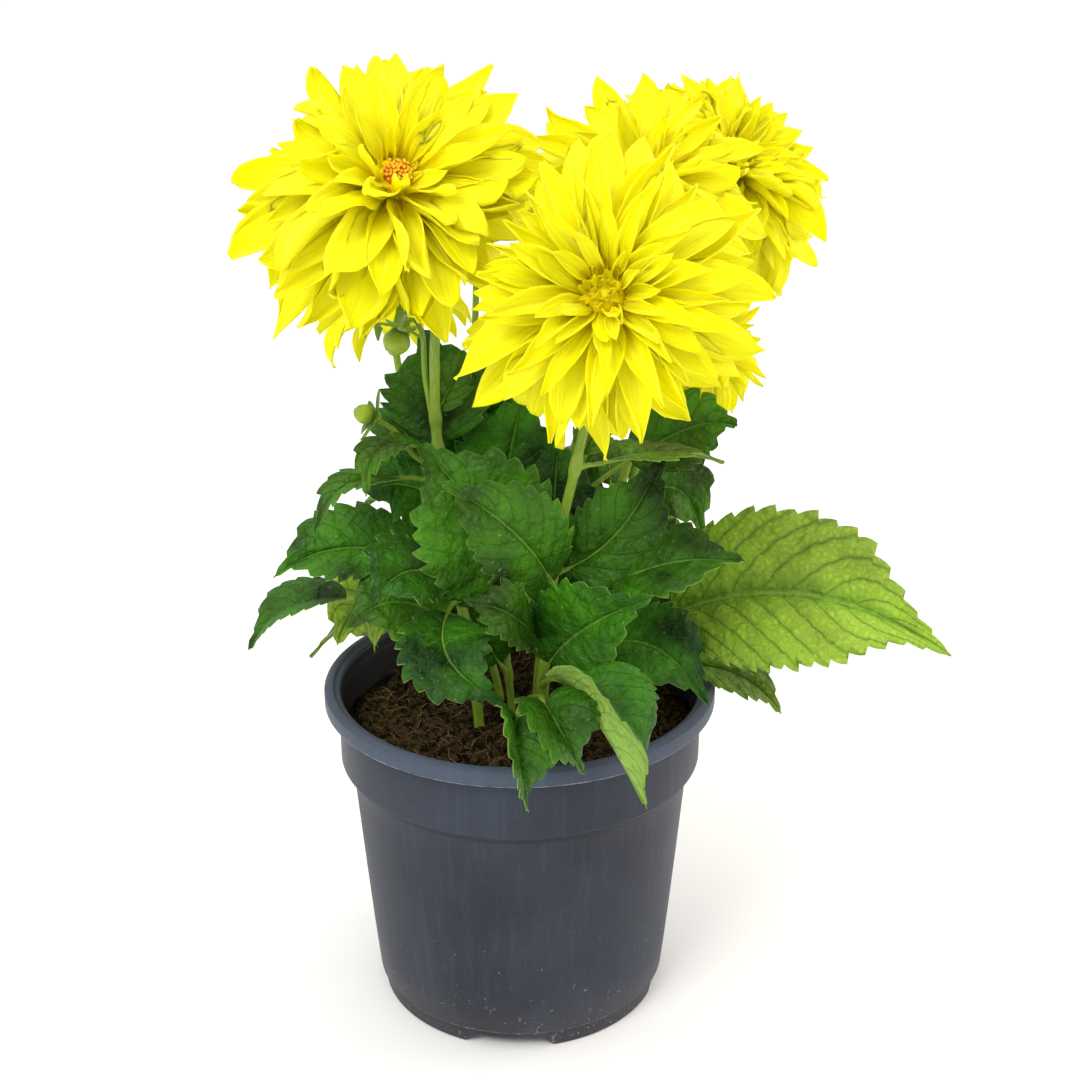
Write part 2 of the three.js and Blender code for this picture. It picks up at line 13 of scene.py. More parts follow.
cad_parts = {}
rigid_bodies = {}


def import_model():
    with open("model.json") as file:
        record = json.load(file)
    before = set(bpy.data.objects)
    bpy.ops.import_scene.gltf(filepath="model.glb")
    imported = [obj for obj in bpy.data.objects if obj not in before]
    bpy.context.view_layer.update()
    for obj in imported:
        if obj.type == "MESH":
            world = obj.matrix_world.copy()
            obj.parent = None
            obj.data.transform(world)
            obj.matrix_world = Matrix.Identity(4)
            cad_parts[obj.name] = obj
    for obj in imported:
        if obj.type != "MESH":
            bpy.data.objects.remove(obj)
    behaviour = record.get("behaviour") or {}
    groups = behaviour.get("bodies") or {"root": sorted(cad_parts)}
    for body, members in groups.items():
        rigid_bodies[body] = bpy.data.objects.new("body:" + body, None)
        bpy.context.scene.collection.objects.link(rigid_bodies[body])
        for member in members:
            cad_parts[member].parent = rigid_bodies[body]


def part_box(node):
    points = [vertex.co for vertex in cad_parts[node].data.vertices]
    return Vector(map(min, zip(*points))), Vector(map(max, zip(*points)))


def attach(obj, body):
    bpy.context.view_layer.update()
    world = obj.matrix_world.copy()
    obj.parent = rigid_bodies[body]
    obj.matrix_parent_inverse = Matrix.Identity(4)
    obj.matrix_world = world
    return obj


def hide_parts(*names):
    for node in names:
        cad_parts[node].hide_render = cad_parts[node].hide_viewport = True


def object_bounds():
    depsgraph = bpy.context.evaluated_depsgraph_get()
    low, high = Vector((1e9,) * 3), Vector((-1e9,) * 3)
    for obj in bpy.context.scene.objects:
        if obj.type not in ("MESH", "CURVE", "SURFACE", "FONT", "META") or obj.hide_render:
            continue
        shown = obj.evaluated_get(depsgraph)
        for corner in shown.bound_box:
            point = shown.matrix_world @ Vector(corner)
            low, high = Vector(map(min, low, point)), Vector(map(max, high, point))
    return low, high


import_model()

bl_info = {
    "name": "Potted yellow dahlia",
    "version": (1, 0, 0),
    "blender": (4, 5, 0),
    "location": "3D View > Sidebar > Dahlia",
    "description": "Builds a yellow dahlia in a nursery pot from its stems, leaves, petals, buds and soil",
    "category": "Add Mesh",
}

MM = 0.001
UP = Vector((0, 0, 1))
GOLDEN_ANGLE = math.pi * (3 - math.sqrt(5))
CAD_LOW, CAD_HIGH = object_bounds()

# The pot: its height, its radii from the rim down, its levels, its wall and floor, its notches and its drain holes
POT_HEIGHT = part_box("pot")[1].z / MM
RIM_RADIUS = 95
SHOULDER_RADIUS = 88.6
BODY_RADIUS = 82.6
BASE_RADIUS = 72.6
FOOT_RADIUS = 70
BAND_Z = 157.5
STEP_Z = 129
FOOT_HEIGHT = 9
WALL = 2
FLOOR_Z = 4
HUB_RADIUS = 16
NOTCHES = 4
NOTCH_TURN = 5
NOTCH_WIDTH = 31
NOTCH_HEIGHT = 5.7
DRAIN_HOLES = 6
DRAIN_RADIUS = 5
DRAIN_CIRCLE = 52
# The recess in the rim's inner ledge, left of the front: its turn in degrees, how far in from the rim, and its size
RECESS_TURN = 16.5
RECESS_INSET = 5.6
RECESS_SIZE = (24, 3.4, 3.6)

# A stem stands upright in the soil, from its foot to a little over the surface
SOIL_Z = 142
STEM_FOOT_Z = 120.3
SOCKET_RISE = 2.4

# Stems: the foot in the soil, then points up to the back of the bloom, and the radius at both ends
STEMS = {
    "front": ([(10, -15), (15, -32, 233), (25, -50, 293), (38, -74, 369)], (2.6, 2.0)),
    "left": ([(-20, -8), (-37, -14, 292), (-37, -22, 332), (-36, -32, 374), (-54, -42, 404)], (2.7, 2.1)),
    "back": ([(8, 12), (22, 16, 260), (50, 34, 345), (58, 47, 385)], (2.5, 1.9)),
    "right": ([(28, -2), (45, 20, 240), (84, 92, 336), (99, 114, 384)], (2.5, 1.9)),
    "low": ([(27, 17), (48, 28, 230), (67, 42, 292), (77, 50, 314)], (2.3, 1.7)),
    "rear": ([(-10, 20), (-57, 60, 296), (-60, 64, 312), (-60, 66, 324)], (2.2, 1.7)),
    "middle": ([(-4, 2), (-20, 25, 316), (-19.5, 30, 352)], (2.0, 1.5)),
}

# Blooms: facing, reach of the longest petals, petals in each layer from the outermost, width of a petal as a share
# of its length, whether the florets show, how blunt the petals are, from 1, drawn out, to 4, round, the way in which
# the petals are longer, as a share, how unruly they are, and a line along which both ends are longer, as a share
BLOOMS = {
    "front": ((-0.2, -0.86, 0.46), 75, (15, 15, 15, 14, 14, 13, 12, 10, 8), 0.32, False, (1.5, 2.8),
              (-0.11, 0, 0.1), 0.8, (0.01, 0, 0)),
    "left": ((0.22, -0.72, 0.66), 79, (16, 16, 15, 15, 14, 12, 10, 8, 6), 0.37, True, (2.0, 3.6),
             (0.09, 0, -0.07), 1.25, (0.085, 0, 0.085)),
    "back": ((-0.12, -0.62, 0.78), 70, (14, 14, 13, 12, 11, 10, 8, 6), 0.4, True, (2.0, 3.4),
             (-0.1, 0, 0.05), 1.1, (0.01, 0, 0)),
    "right": ((0.4, -0.62, 0.68), 68, (20, 20, 20, 19, 18, 17, 15, 13, 10), 0.38, False, (1.8, 3.4),
              (-0.11, 0, -0.15), 1.15, (-0.02, 0, 0.09)),
    "low": ((0.72, -0.42, 0.4), 54, (15, 15, 14, 13, 11, 8), 0.34, False, (1.5, 2.8), (0, 0, 0.12), 1.0, (0.01, 0, 0)),
    "rear": ((-0.2, 0.42, 0.88), 46, (12, 12, 11, 9, 7), 0.36, False, (1.8, 3.0), (0, 0, 0), 1.0, (0.01, 0, 0)),
}
CALYX_LENGTH = 9
CORE_RISE = 5.3

# Buds: stem that carries it, stalk, seat, facing, radius and length
BUDS = {
    "nodding": ("left", [(-38, -15, 297), (-41.5, -17.5, 322), (-42.5, -20, 344), (-46, -23.5, 350.5)],
                (-51, -26, 346.5), (-0.35, -0.15, -0.93), 5.8, 12),
    "small": ("left", [(-36, -14, 278), (-47, -12, 283), (-56, -13, 296)],
              (-65, -16, 303), (-0.85, -0.25, 0.45), 4.2, 10),
    "closed": ("middle", [(-19.6, 29.6, 346), (-20, 31, 356)],
               (-23, 35, 371), (-0.2, 0.35, 0.9), 8, 19),
}

# Leaves: height of the node, heading in degrees, reach and rise of the tip, share of the reach where the rib bends,
# lift and sweep of the bend, share of bare stalk, width, lean of the face in degrees, and how young and pale it is
LEAVES = {
    "front": [
        (205, -20, 92, 44, 0.54, 50, -7, 0.3, 46, 25, 0.04),
        (172, -59, 88, 77, 0.53, 50, -26, 0.22, 48, 60, 0.0),
        (233, 15, 53, 56, 0.56, 15, -19, 0.12, 42, 70, 0.05),
        (290, 29, 80, -10, 0.5, 9, -6, 0.1, 25, 5, 0.3),
        (228, -149, 57, 61, 0.66, 48, 46, 0.08, 44, 62, 0.06),
        (200, -169, 58, 98, 0.55, 74, 31, 0.14, 66, 66, 0.05),
        (190, -125, 62, 48, 1.19, 60, 40, 0.2, 28, 50, 0.08),
        (163, -94, 100, -4, 1.32, 71, -12, 0.45, 28, 35, 0.05),
        (160, -80, 96, 14, 1.26, 75, -27, 0.4, 32, 50, 0.05),
        (170, -66, 107, -10, 1.03, 76, -40, 0.42, 46, 20, 0.0),
        (293, 40, 22, 22, 0.3, 14, -3, 0.15, 17, 60, 0.35),
        (215, 80, 30, 78, 0.5, 46, 0, 0.1, 42, 75, 0.0),
    ],
    "left": [
        (287, -134, 44, -11, 0.9, 22, -7, 0.12, 20, 10, 0.12),
        (270, -156, 62, -13, 0.85, 21, -3, 0.2, 20, 5, 0.1),
        (262, 176, 34, 0, 0.85, 13, -5, 0.2, 39, 60, 0.0),
        (222, -177, 86, 3, 0.6, 31, -3, 0.2, 42, 35, 0.03),
        (200, 174, 106, -20, 0.8, 21, -12, 0.4, 34, 8, 0.05),
        (195, 155, 72, -22, 0.9, 20, -12, 0.3, 48, 60, 1.0),
        (192, -150, 62, 18, 0.65, 45, 8, 0.15, 50, 45, 0.08),
        (218, -128, 60, 12, 0.7, 36, 6, 0.25, 40, 45, 0.0),
        (214, -76, 92, -13, 0.95, 12, -42, 0.18, 41, 55, 0.0),
        (285, 106, 26, 52, 0.5, 28, -6, 0.1, 49, 75, 0.05),
        (280, 147, 42, 20, 0.6, 17, 0, 0.1, 20, 60, 0.05),
        (303, 20, 14, 30, 0.6, 16, 0, 0.1, 18, 70, 0.15),
    ],
    "right": [
        (168, -11, 174, 23, 0.46, 83, 3, 0.26, 90, 35, 0.9),
        (175, -44, 76, 0, 0.66, 46, -11, 0.2, 46, 35, 0.0),
        (163, -4, 98, -15, 0.75, 24, 6, 0.4, 32, 15, 0.55),
        (240, 90, 72, 5, 0.5, 36, 0, 0.22, 46, 0, 0.15),
        (168, 14, 45, 40, 0.59, 20, -2, 0.15, 36, 60, 0.0),
    ],
    "low": [
        (205, -24, 36, 23, 0.8, 44, 8, 0.35, 20, 60, 0.6),
        (235, 14, 44, -14, 0.73, 38, 1, 0.15, 42, 50, 0.1),
        (185, 70, 98, -8, 0.55, 45, 0, 0.22, 54, -10, 0.2),
        (200, 104, 18, 64, 0.45, 23, 0, 0.1, 42, 75, 0.0),
        (165, 150, 26, 50, 0.5, 30, 0, 0.1, 36, 70, 0.0),
    ],
    "back": [
        (245, -7, 83, 47, 0.74, 58, 0, 0.3, 40, 45, 0.1),
        (190, 92, 92, 0, 0.55, 50, 0, 0.22, 54, -15, 0.2),
        (195, 78, 21, 88, 0.54, 42, 3, 0.08, 44, 75, 0.0),
        (195, 42, 34, 76, 0.5, 42, 0, 0.1, 40, 75, 0.0),
    ],
    "rear": [
        (186, 171, 88, -29, 0.62, 14, 0, 0.35, 28, 0, 0.4),
        (190, 128, 92, -4, 0.55, 48, 0, 0.22, 56, -10, 0.15),
        (225, 155, 52, 4, 0.5, 34, 0, 0.2, 44, 0, 0.1),
        (205, -135, 31, 63, 0.5, 36, 0, 0.1, 40, 70, 0.0),
    ],
    "middle": [
        (235, -16, 16, 75, 0.88, 47, -19, 0.12, 50, 75, 0.0),
        (262, 65, 12, 66, 0, 47, 2, 0.12, 38, 75, 0.0),
        (165, -162, 16, 63, 1.58, 36, 3, 0.1, 34, 70, 0.0),
        (250, 180, 14, 50, 0.5, 26, 0, 0.1, 32, 75, 0.0),
    ],
}
FOLD = 0.16
TOOTH = 0.12
TOOTH_SPACING = 9.5
LEAF_THICKNESS = 0.55
# Side veins of each half: their least number, and the length in which there is one more. Then, for the shape and the
# colour alike, how far they lean forward, how they bow, and by what share of their spacing the halves are set off
VEINS = 4.6
VEIN_SPACING = 34
VEIN_SLANT = 0.32
VEIN_BOW = 1.15
VEIN_OFFSET = 0.35
# Lines from root to tip on a petal, and on a sepal
PETAL_RIBS = 7
SEPAL_LINES = 7


# Settings that a user would change

def linear(hex_colour):
    """An sRGB hex colour as linear red, green, blue and alpha."""
    parts = [int(hex_colour[i:i + 2], 16) / 255 for i in (1, 3, 5)]
    return tuple(c / 12.92 if c <= 0.04045 else ((c + 0.055) / 1.055) ** 2.4 for c in parts) + (1.0,)


def colour_setting(name, description, hex_colour):
    """A colour property with its default."""
    return bpy.props.FloatVectorProperty(
        name=name, description=description, subtype="COLOR", size=4, min=0, max=1, default=linear(hex_colour))


class DahliaPotSettings(bpy.types.PropertyGroup):
    """Colours and finish of the nursery pot."""
    colour: colour_setting("Plastic", "Colour of the moulded plastic", "#181b26")
    scuffed: colour_setting("Scuffed plastic", "Colour where the surface is rubbed pale", "#4d586a")
    dust: colour_setting("Dust", "Colour of dried soil on the outside", "#8a7f72")
    sides: bpy.props.IntProperty(
        name="Segments", description="Straight segments round the pot", default=128, min=32, max=256)


class DahliaSoilSettings(bpy.types.PropertyGroup):
    """Colours and grain of the compost."""
    dark: colour_setting("Moist compost", "Colour of the moist compost", "#0a0704")
    light: colour_setting("Dry compost", "Colour of dried crumbs and fibres", "#76603f")
    crumb: bpy.props.FloatProperty(
        name="Crumb size", description="Largest width of a crumb", default=0.0055, min=0.001, max=0.01,
        unit="LENGTH", subtype="DISTANCE")
    seed: bpy.props.IntProperty(name="Seed", description="Scatter of crumbs and fibres", default=5, min=0)


class DahliaLeafSettings(bpy.types.PropertyGroup):
    """Colours and relief of leaves and stems."""
    dark: colour_setting("Deep green", "Colour of a grown leaf in its darker parts", "#0f3208")
    mid: colour_setting("Green", "Colour of a grown leaf in its lighter parts", "#40820f")
    young: colour_setting("Pale green", "Colour of a pale leaf between its veins", "#a6c83a")
    under: colour_setting("Underside", "Colour of a leaf's underside", "#8db04c")
    stem: colour_setting("Stem", "Colour of stems and stalks", "#86a32c")
    teeth: bpy.props.FloatProperty(
        name="Tooth spacing", description="Distance between the teeth of a leaf's edge", default=TOOTH_SPACING * MM,
        min=0.004, max=0.03, unit="LENGTH", subtype="DISTANCE")


class DahliaBloomSettings(bpy.types.PropertyGroup):
    """Colours of petals, florets and buds."""
    petal: colour_setting("Petal", "Lemon yellow of the petals", "#faf000")
    base: colour_setting("Petal base", "Golden yellow near the root of a petal", "#fedc00")
    pale: colour_setting("Petal underside", "Paler, greener yellow of a petal's back", "#f4ec2c")
    floret: colour_setting("Floret", "Orange of the florets", "#e2791d")
    bud: colour_setting("Bud", "Yellow-green of a closed bud", "#93b018")
    seed: bpy.props.IntProperty(name="Seed", description="Small differences between petals", default=3, min=0)


class DahliaStageSettings(bpy.types.PropertyGroup):
    """Floor and light."""
    floor: colour_setting("Floor", "Colour of the plain floor", "#f6f6f4")
    key: bpy.props.FloatProperty(
        name="Key light", description="Power of the main soft light", default=18.0, min=0, unit="POWER")
    fill: bpy.props.FloatProperty(
        name="Fill light", description="Power of the light from the right", default=9.0, min=0, unit="POWER")


# Small tools

def point(values):
    """Millimetres as a vector in metres."""
    return Vector(values) * MM


def feed(node, inputs):
    """Sets a node's inputs, by name or place, to values, or links each to a socket, to the first output that a node
    has in use, or to a list of them."""
    for key, given in inputs.items():
        for value in given if isinstance(given, list) else [given]:
            if isinstance(value, bpy.types.Node):
                value = next(output for output in value.outputs if output.enabled)
            if isinstance(value, bpy.types.NodeSocket):
                node.id_data.links.new(value, node.inputs[key])
            else:
                node.inputs[key].default_value = value


def add(tree, kind, inputs=None, **settings):
    """Adds a node to a tree, with its settings and inputs."""
    made = tree.nodes.new(kind)
    for name, value in settings.items():
        setattr(made, name, value)
    feed(made, inputs or {})
    return made


def new_material(name):
    """A material with its shader: (material, tree, shader)."""
    material = bpy.data.materials.new(name)
    material.use_nodes = True
    tree = material.node_tree
    return material, tree, tree.nodes["Principled BSDF"]


def new_object(name, data, materials=()):
    """A new object for a mesh, curve, light or camera, in the scene."""
    made = bpy.data.objects.new(name, data)
    bpy.context.scene.collection.objects.link(made)
    for material in materials:
        data.materials.append(material)
    return made


def new_mesh(name, points, faces=()):
    """A mesh from its points and faces."""
    made = bpy.data.meshes.new(name)
    made.from_pydata(points, [], faces)
    return made


def shade_smooth(mesh):
    """Smooth shading on every face."""
    mesh.polygons.foreach_set("use_smooth", [True] * len(mesh.polygons))


def finish_piece(piece, node):
    """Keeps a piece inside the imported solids' box, and lets it ride and stand for its node."""
    for vertex in piece.data.vertices:
        for axis in range(3):
            vertex.co[axis] = min(max(vertex.co[axis], CAD_LOW[axis]), CAD_HIGH[axis])
    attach(piece, "root")
    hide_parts(node)


def frozen(source, name, modifier):
    """The evaluated result of an object's node tree as a plain mesh. The source goes."""
    bpy.context.view_layer.update()
    graph = bpy.context.evaluated_depsgraph_get()
    mesh = bpy.data.meshes.new_from_object(source.evaluated_get(graph))
    mesh.name = name
    source.modifiers.remove(modifier)
    bpy.data.objects.remove(source)
    return mesh


def modifier_with(source, tree, values):
    """A Geometry Nodes modifier with values for its named inputs."""
    made = source.modifiers.new(tree.name, "NODES")
    made.node_group = tree
    for item in tree.interface.items_tree:
        if item.item_type == "SOCKET" and item.in_out == "INPUT" and item.name in values:
            made[item.identifier] = values[item.name]
    return made


def joined(name, objects):
    """Several mesh objects as one."""
    bpy.ops.object.select_all(action="DESELECT")
    for item in objects:
        item.select_set(True)
    bpy.context.view_layer.objects.active = objects[0]
    bpy.ops.object.join()
    objects[0].name = name
    objects[0].data.name = name
    return objects[0]


def smooth_step(low, high, value):
    """0 below low, 1 above high, and a smooth rise between."""
    t = min(max((value - low) / (high - low), 0.0), 1.0)
    return t * t * (3 - 2 * t)


def around(axis, turn):
    """The direction square to an axis at a turn about it from as near to upright as it can be."""
    first = Vector((1, 0, 0)) if abs(axis.z) > 0.95 else UP
    first = (first - axis * first.dot(axis)).normalized()
    return first * math.cos(turn) + axis.cross(first) * math.sin(turn)


def form_collection(name, meshes):
    """A collection with an object for each mesh. A tree picks from them in the order of their names."""
    forms = bpy.data.collections.new(name)
    for mesh in meshes:
        forms.objects.link(bpy.data.objects.new(mesh.name, mesh))
    return forms


def drop_forms(forms):
    """Removes a collection with its objects."""
    for item in list(forms.objects):
        bpy.data.objects.remove(item)
    bpy.data.collections.remove(forms)


def new_tree(name, sockets):
    """A Geometry Nodes tree with named inputs besides its geometry and material: (tree, inputs by name)."""
    tree = bpy.data.node_groups.new(name, "GeometryNodeTree")
    for socket, kind in {"Geometry": "Geometry", **sockets, "Material": "Material"}.items():
        tree.interface.new_socket(socket, in_out="INPUT", socket_type=f"NodeSocket{kind}")
    tree.interface.new_socket("Geometry", in_out="OUTPUT", socket_type="NodeSocketGeometry")
    return tree, add(tree, "NodeGroupInput").outputs


def end_tree(tree, given, shape):
    """Ends a tree with its instances made real and its material set."""
    real = add(tree, "GeometryNodeRealizeInstances", {0: shape})
    dressed = add(tree, "GeometryNodeSetMaterial", {"Geometry": real, "Material": given["Material"]})
    add(tree, "NodeGroupOutput", {0: dressed})
    return tree


# Curves of stems and ribs

def stem_points(name):
    """The points that a stem passes through, upright in its socket."""
    (x, y), *rest = STEMS[name][0]
    return [point((x, y, STEM_FOOT_Z)), point((x, y, SOIL_Z + SOCKET_RISE))] + [point(p) for p in rest]


def along(points, t):
    """A point on the smooth curve through some points, at a share from 0 to 1 of its stretches."""
    last = len(points) - 1
    place = min(max(t, 0.0), 1.0) * last
    i = min(int(place), last - 1)
    weight = place - i
    before = points[i - 1] if i > 0 else points[0] * 2 - points[1]
    after = points[i + 2] if i + 2 <= last else points[last] * 2 - points[last - 1]
    near, far = points[i], points[i + 1]
    d0, d1, d2 = (max(math.sqrt((b - a).length), 1e-6) for a, b in ((before, near), (near, far), (far, after)))
    start = ((near - before) / d0 - (far - before) / (d0 + d1) + (far - near) / d1) * d1
    end = ((far - near) / d1 - (after - near) / (d1 + d2) + (after - far) / d2) * d1
    w2, w3 = weight ** 2, weight ** 3
    return (near * (2 * w3 - 3 * w2 + 1) + start * (w3 - 2 * w2 + weight)
            + far * (3 * w2 - 2 * w3) + end * (w3 - w2))


def on_stem(points, height):
    """The point of a stem at a height in metres."""
    low, high = 0.0, 1.0
    for _ in range(24):
        middle = (low + high) / 2
        if along(points, middle).z < height:
            low = middle
        else:
            high = middle
    return along(points, low)


def bent(root, bend, tip, t):
    """A point on a rib that bends once."""
    return root * (1 - t) ** 2 + bend * (2 * t * (1 - t)) + tip * t ** 2


def bent_direction(root, bend, tip, t):
    """The direction of that rib."""
    return ((bend - root) * (1 - t) + (tip - bend) * t).normalized()


def blade_side(tangent, tilt):
    """The direction across a blade whose face leans to the front by an angle in degrees."""
    lean = math.radians(tilt)
    return tangent.cross(Vector((0, -math.sin(lean), math.cos(lean)))).normalized()


def bloom_seat(name):
    """The end of a bloom's stem and the bloom's facing."""
    return point(STEMS[name][0][-1]), Vector(BLOOMS[name][0]).normalized()


def buds_on(name):
    """The seat, axis and radius of each bud that a stem carries."""
    return [(point(seat), Vector(facing).normalized(), radius)
            for stem, _, seat, facing, radius, _ in BUDS.values() if stem == name]


def leaf_rib(name, row):
    """The root, bend and tip of a leaf's rib."""
    height, heading, reach, rise, bend_at, lift, sweep = row[:7]
    angle = math.radians(heading)
    out, aside = Vector((math.cos(angle), math.sin(angle), 0)), Vector((-math.sin(angle), math.cos(angle), 0))
    root = on_stem(stem_points(name), height * MM)
    tip = root + (out * reach + UP * rise) * MM
    bend = root + (out * reach * bend_at + aside * sweep + UP * lift) * MM
    return root, bend, tip


# Thin closed sheets: blades of leaves, bracts, sepals and petals

class Sheets:
    """Collects closed thin sheets, with a place across and along each, for one mesh."""

    def __init__(self):
        self.points = []
        self.faces = []
        self.places = []
        self.values = {"under": [], "young": [], "veins": []}

    def sheet(self, rows, downs, shares, across, young=0.0, veins=0.0):
        """Adds rows of points from root to tip, with the same number in each, and the step down to the back, one
        for a row or one for each of its points."""
        start = len(self.points)
        wide = len(across)
        for side in (0, 1):
            for row, down, share in zip(rows, downs, shares):
                steps = down if isinstance(down, list) else [down] * wide
                for place, v, step in zip(row, across, steps):
                    self.points.append(place + step * side)
                    self.places.append((share, 0.5 + 0.5 * v))
                    self.values["under"].append(float(side))
                    self.values["young"].append(young)
                    self.values["veins"].append(veins)
        back = len(rows) * wide
        rim = []
        for i in range(len(rows) - 1):
            for j in range(wide - 1):
                a = start + i * wide + j
                b, c, d = a + 1, a + wide + 1, a + wide
                self.faces.append((a, b, c, d))
                self.faces.append((a + back, d + back, c + back, b + back))
            rim.append((start + (i + 1) * wide, start + i * wide))
            rim.append((start + i * wide + wide - 1, start + (i + 1) * wide + wide - 1))
        last = start + (len(rows) - 1) * wide
        for j in range(wide - 1):
            rim.append((start + j, start + j + 1))
            rim.append((last + j + 1, last + j))
        for a, b in rim:
            self.faces.append((b, a, a + back, b + back))

    def mesh(self, name):
        """The collected sheets as a mesh with its map and values."""
        made = new_mesh(name, self.points, self.faces)
        chart = made.uv_layers.new(name="blade")
        for loop in made.loops:
            chart.data[loop.index].uv = self.places[loop.vertex_index]
        for key, values in self.values.items():
            layer = made.attributes.new(key, "FLOAT", "POINT")
            layer.data.foreach_set("value", values)
        shade_smooth(made)
        return made


# Leaves that fold or turn more than the others: stem and place in its table, fold, and turn about the rib in degrees
FOLDED = {("front", 7): (0.9, -36), ("front", 8): (0.7, -15), ("front", 9): (0.95, -38), ("left", 3): (0.35, 0),
          ("left", 4): (0.4, 0)}
LEAF_ACROSS = (-1, -0.93, -0.8, -0.63, -0.45, -0.28, -0.13, -0.045, 0,
               0.045, 0.13, 0.28, 0.45, 0.63, 0.8, 0.93, 1)
TOOTH_STEPS = ((0.0, 0.0), (0.28, 0.5), (0.54, 0.82), (0.78, 1.0))


def leaf_outline(u):
    """Half width of a leaf along its blade: egg shaped with a drawn-out tip, 1 at the widest."""
    return 2.62 * max(u, 0.0) ** 0.55 * max(1 - u, 0.0) ** 0.9 * (1 - 0.58 * smooth_step(0.6, 0.9, u))


def add_leaf(sheets, name, row, spacing, seed, fold, turn):
    """A leaf's blade: folded along its rib, puckered between its side veins, with teeth that point forward."""
    stalk, width, tilt, young = row[7:]
    root, bend, tip = leaf_rib(name, row)
    long = (bend - root).length * 0.5 + (tip - bend).length * 0.5 + (tip - root).length * 0.5
    blade_length = long * (1 - stalk)
    teeth = max(4, round(blade_length / spacing))
    veins = VEINS + blade_length / (VEIN_SPACING * MM)
    draw = random.Random(seed)
    wave_phase = draw.uniform(0, 6.28)
    wave = draw.uniform(0.6, 1.3) * MM
    shares = [0.0, 0.012]
    bites = [0.0, 0.0]
    for k in range(teeth):
        size = draw.uniform(0.55, 1.25)
        for t, bite in TOOTH_STEPS:
            shares.append((k + 0.25 + t) / (teeth + 0.55))
            bites.append(bite * size)
    shares += [0.985, 1.0]
    bites += [0.4, 0.4]
    rows, downs = [], []
    for u, bite in zip(shares, bites):
        s = stalk + (1 - stalk) * u
        tangent = bent_direction(root, bend, tip, s)
        turned_by = Matrix.Rotation(math.radians(turn) * smooth_step(0, 0.3, u), 3, tangent)
        side = turned_by @ blade_side(tangent, tilt)
        normal = side.cross(tangent)
        middle = bent(root, bend, tip, s)
        half = max(width * MM / 2 * leaf_outline(u), 0.5 * MM)
        depth = min(TOOTH * half + 1.2 * MM, 4.4 * MM) * smooth_step(0, 0.12, u)
        forward = tangent * (0.17 * spacing * bite ** 2 * smooth_step(0, 0.08, u) * smooth_step(1.0, 0.9, u))
        line = []
        for v in LEAF_ACROSS:
            a = abs(v)
            outer = smooth_step(0.62, 1, a)
            reach = v * (half + depth * (bite - 0.6) * outer)
            phase = (u - VEIN_SLANT * a ** VEIN_BOW) * veins + (VEIN_OFFSET if v > 0 else 0)
            pucker = (0.5 - 0.5 * math.cos(2 * math.pi * phase)) * smooth_step(0, 0.14, a) * (1 - a ** 4)
            rise = fold * half * (1.6 * a - 0.7 * a * a) + 0.07 * half * pucker
            rise -= 0.7 * MM * math.exp(-(a * half / (1.5 * MM)) ** 2) * smooth_step(1.0, 0.7, u)
            rise += wave * a ** 2 * math.sin(2 * math.pi * 1.7 * u + wave_phase + (1.1 if v > 0 else 0))
            place = middle + side * reach + forward * outer
            rise += 1.6 * MM * a * noise.noise(place * 34)
            line.append(place + normal * rise)
        rows.append(line)
        downs.append(normal * (-LEAF_THICKNESS * MM))
    sheets.sheet(rows, downs, shares, LEAF_ACROSS, young, veins)


def add_bract(sheets, root, bend, tip, normal, width, young):
    """A small smooth blade with no teeth, such as a bract under a bloom."""
    across = (-1, -0.5, 0, 0.5, 1)
    shares = [i / 8 for i in range(9)]
    rows, downs = [], []
    for u in shares:
        tangent = bent_direction(root, bend, tip, u)
        side = tangent.cross(normal).normalized()
        up = side.cross(tangent)
        half = max(width / 2 * math.sin(math.pi * min(0.18 + 0.82 * u, 0.985)) ** 0.8, 0.15 * MM)
        middle = bent(root, bend, tip, u)
        rows.append([middle + side * (v * half) + up * (0.25 * half * v * v) for v in across])
        downs.append(up * (-0.5 * MM))
    sheets.sheet(rows, downs, shares, across, young)


# Materials

def blade_place(tree):
    """Place on a blade: X from root to tip and Y across it, both from 0 to 1."""
    return add(tree, "ShaderNodeSeparateXYZ", {0: add(tree, "ShaderNodeUVMap", uv_map="blade")}).outputs


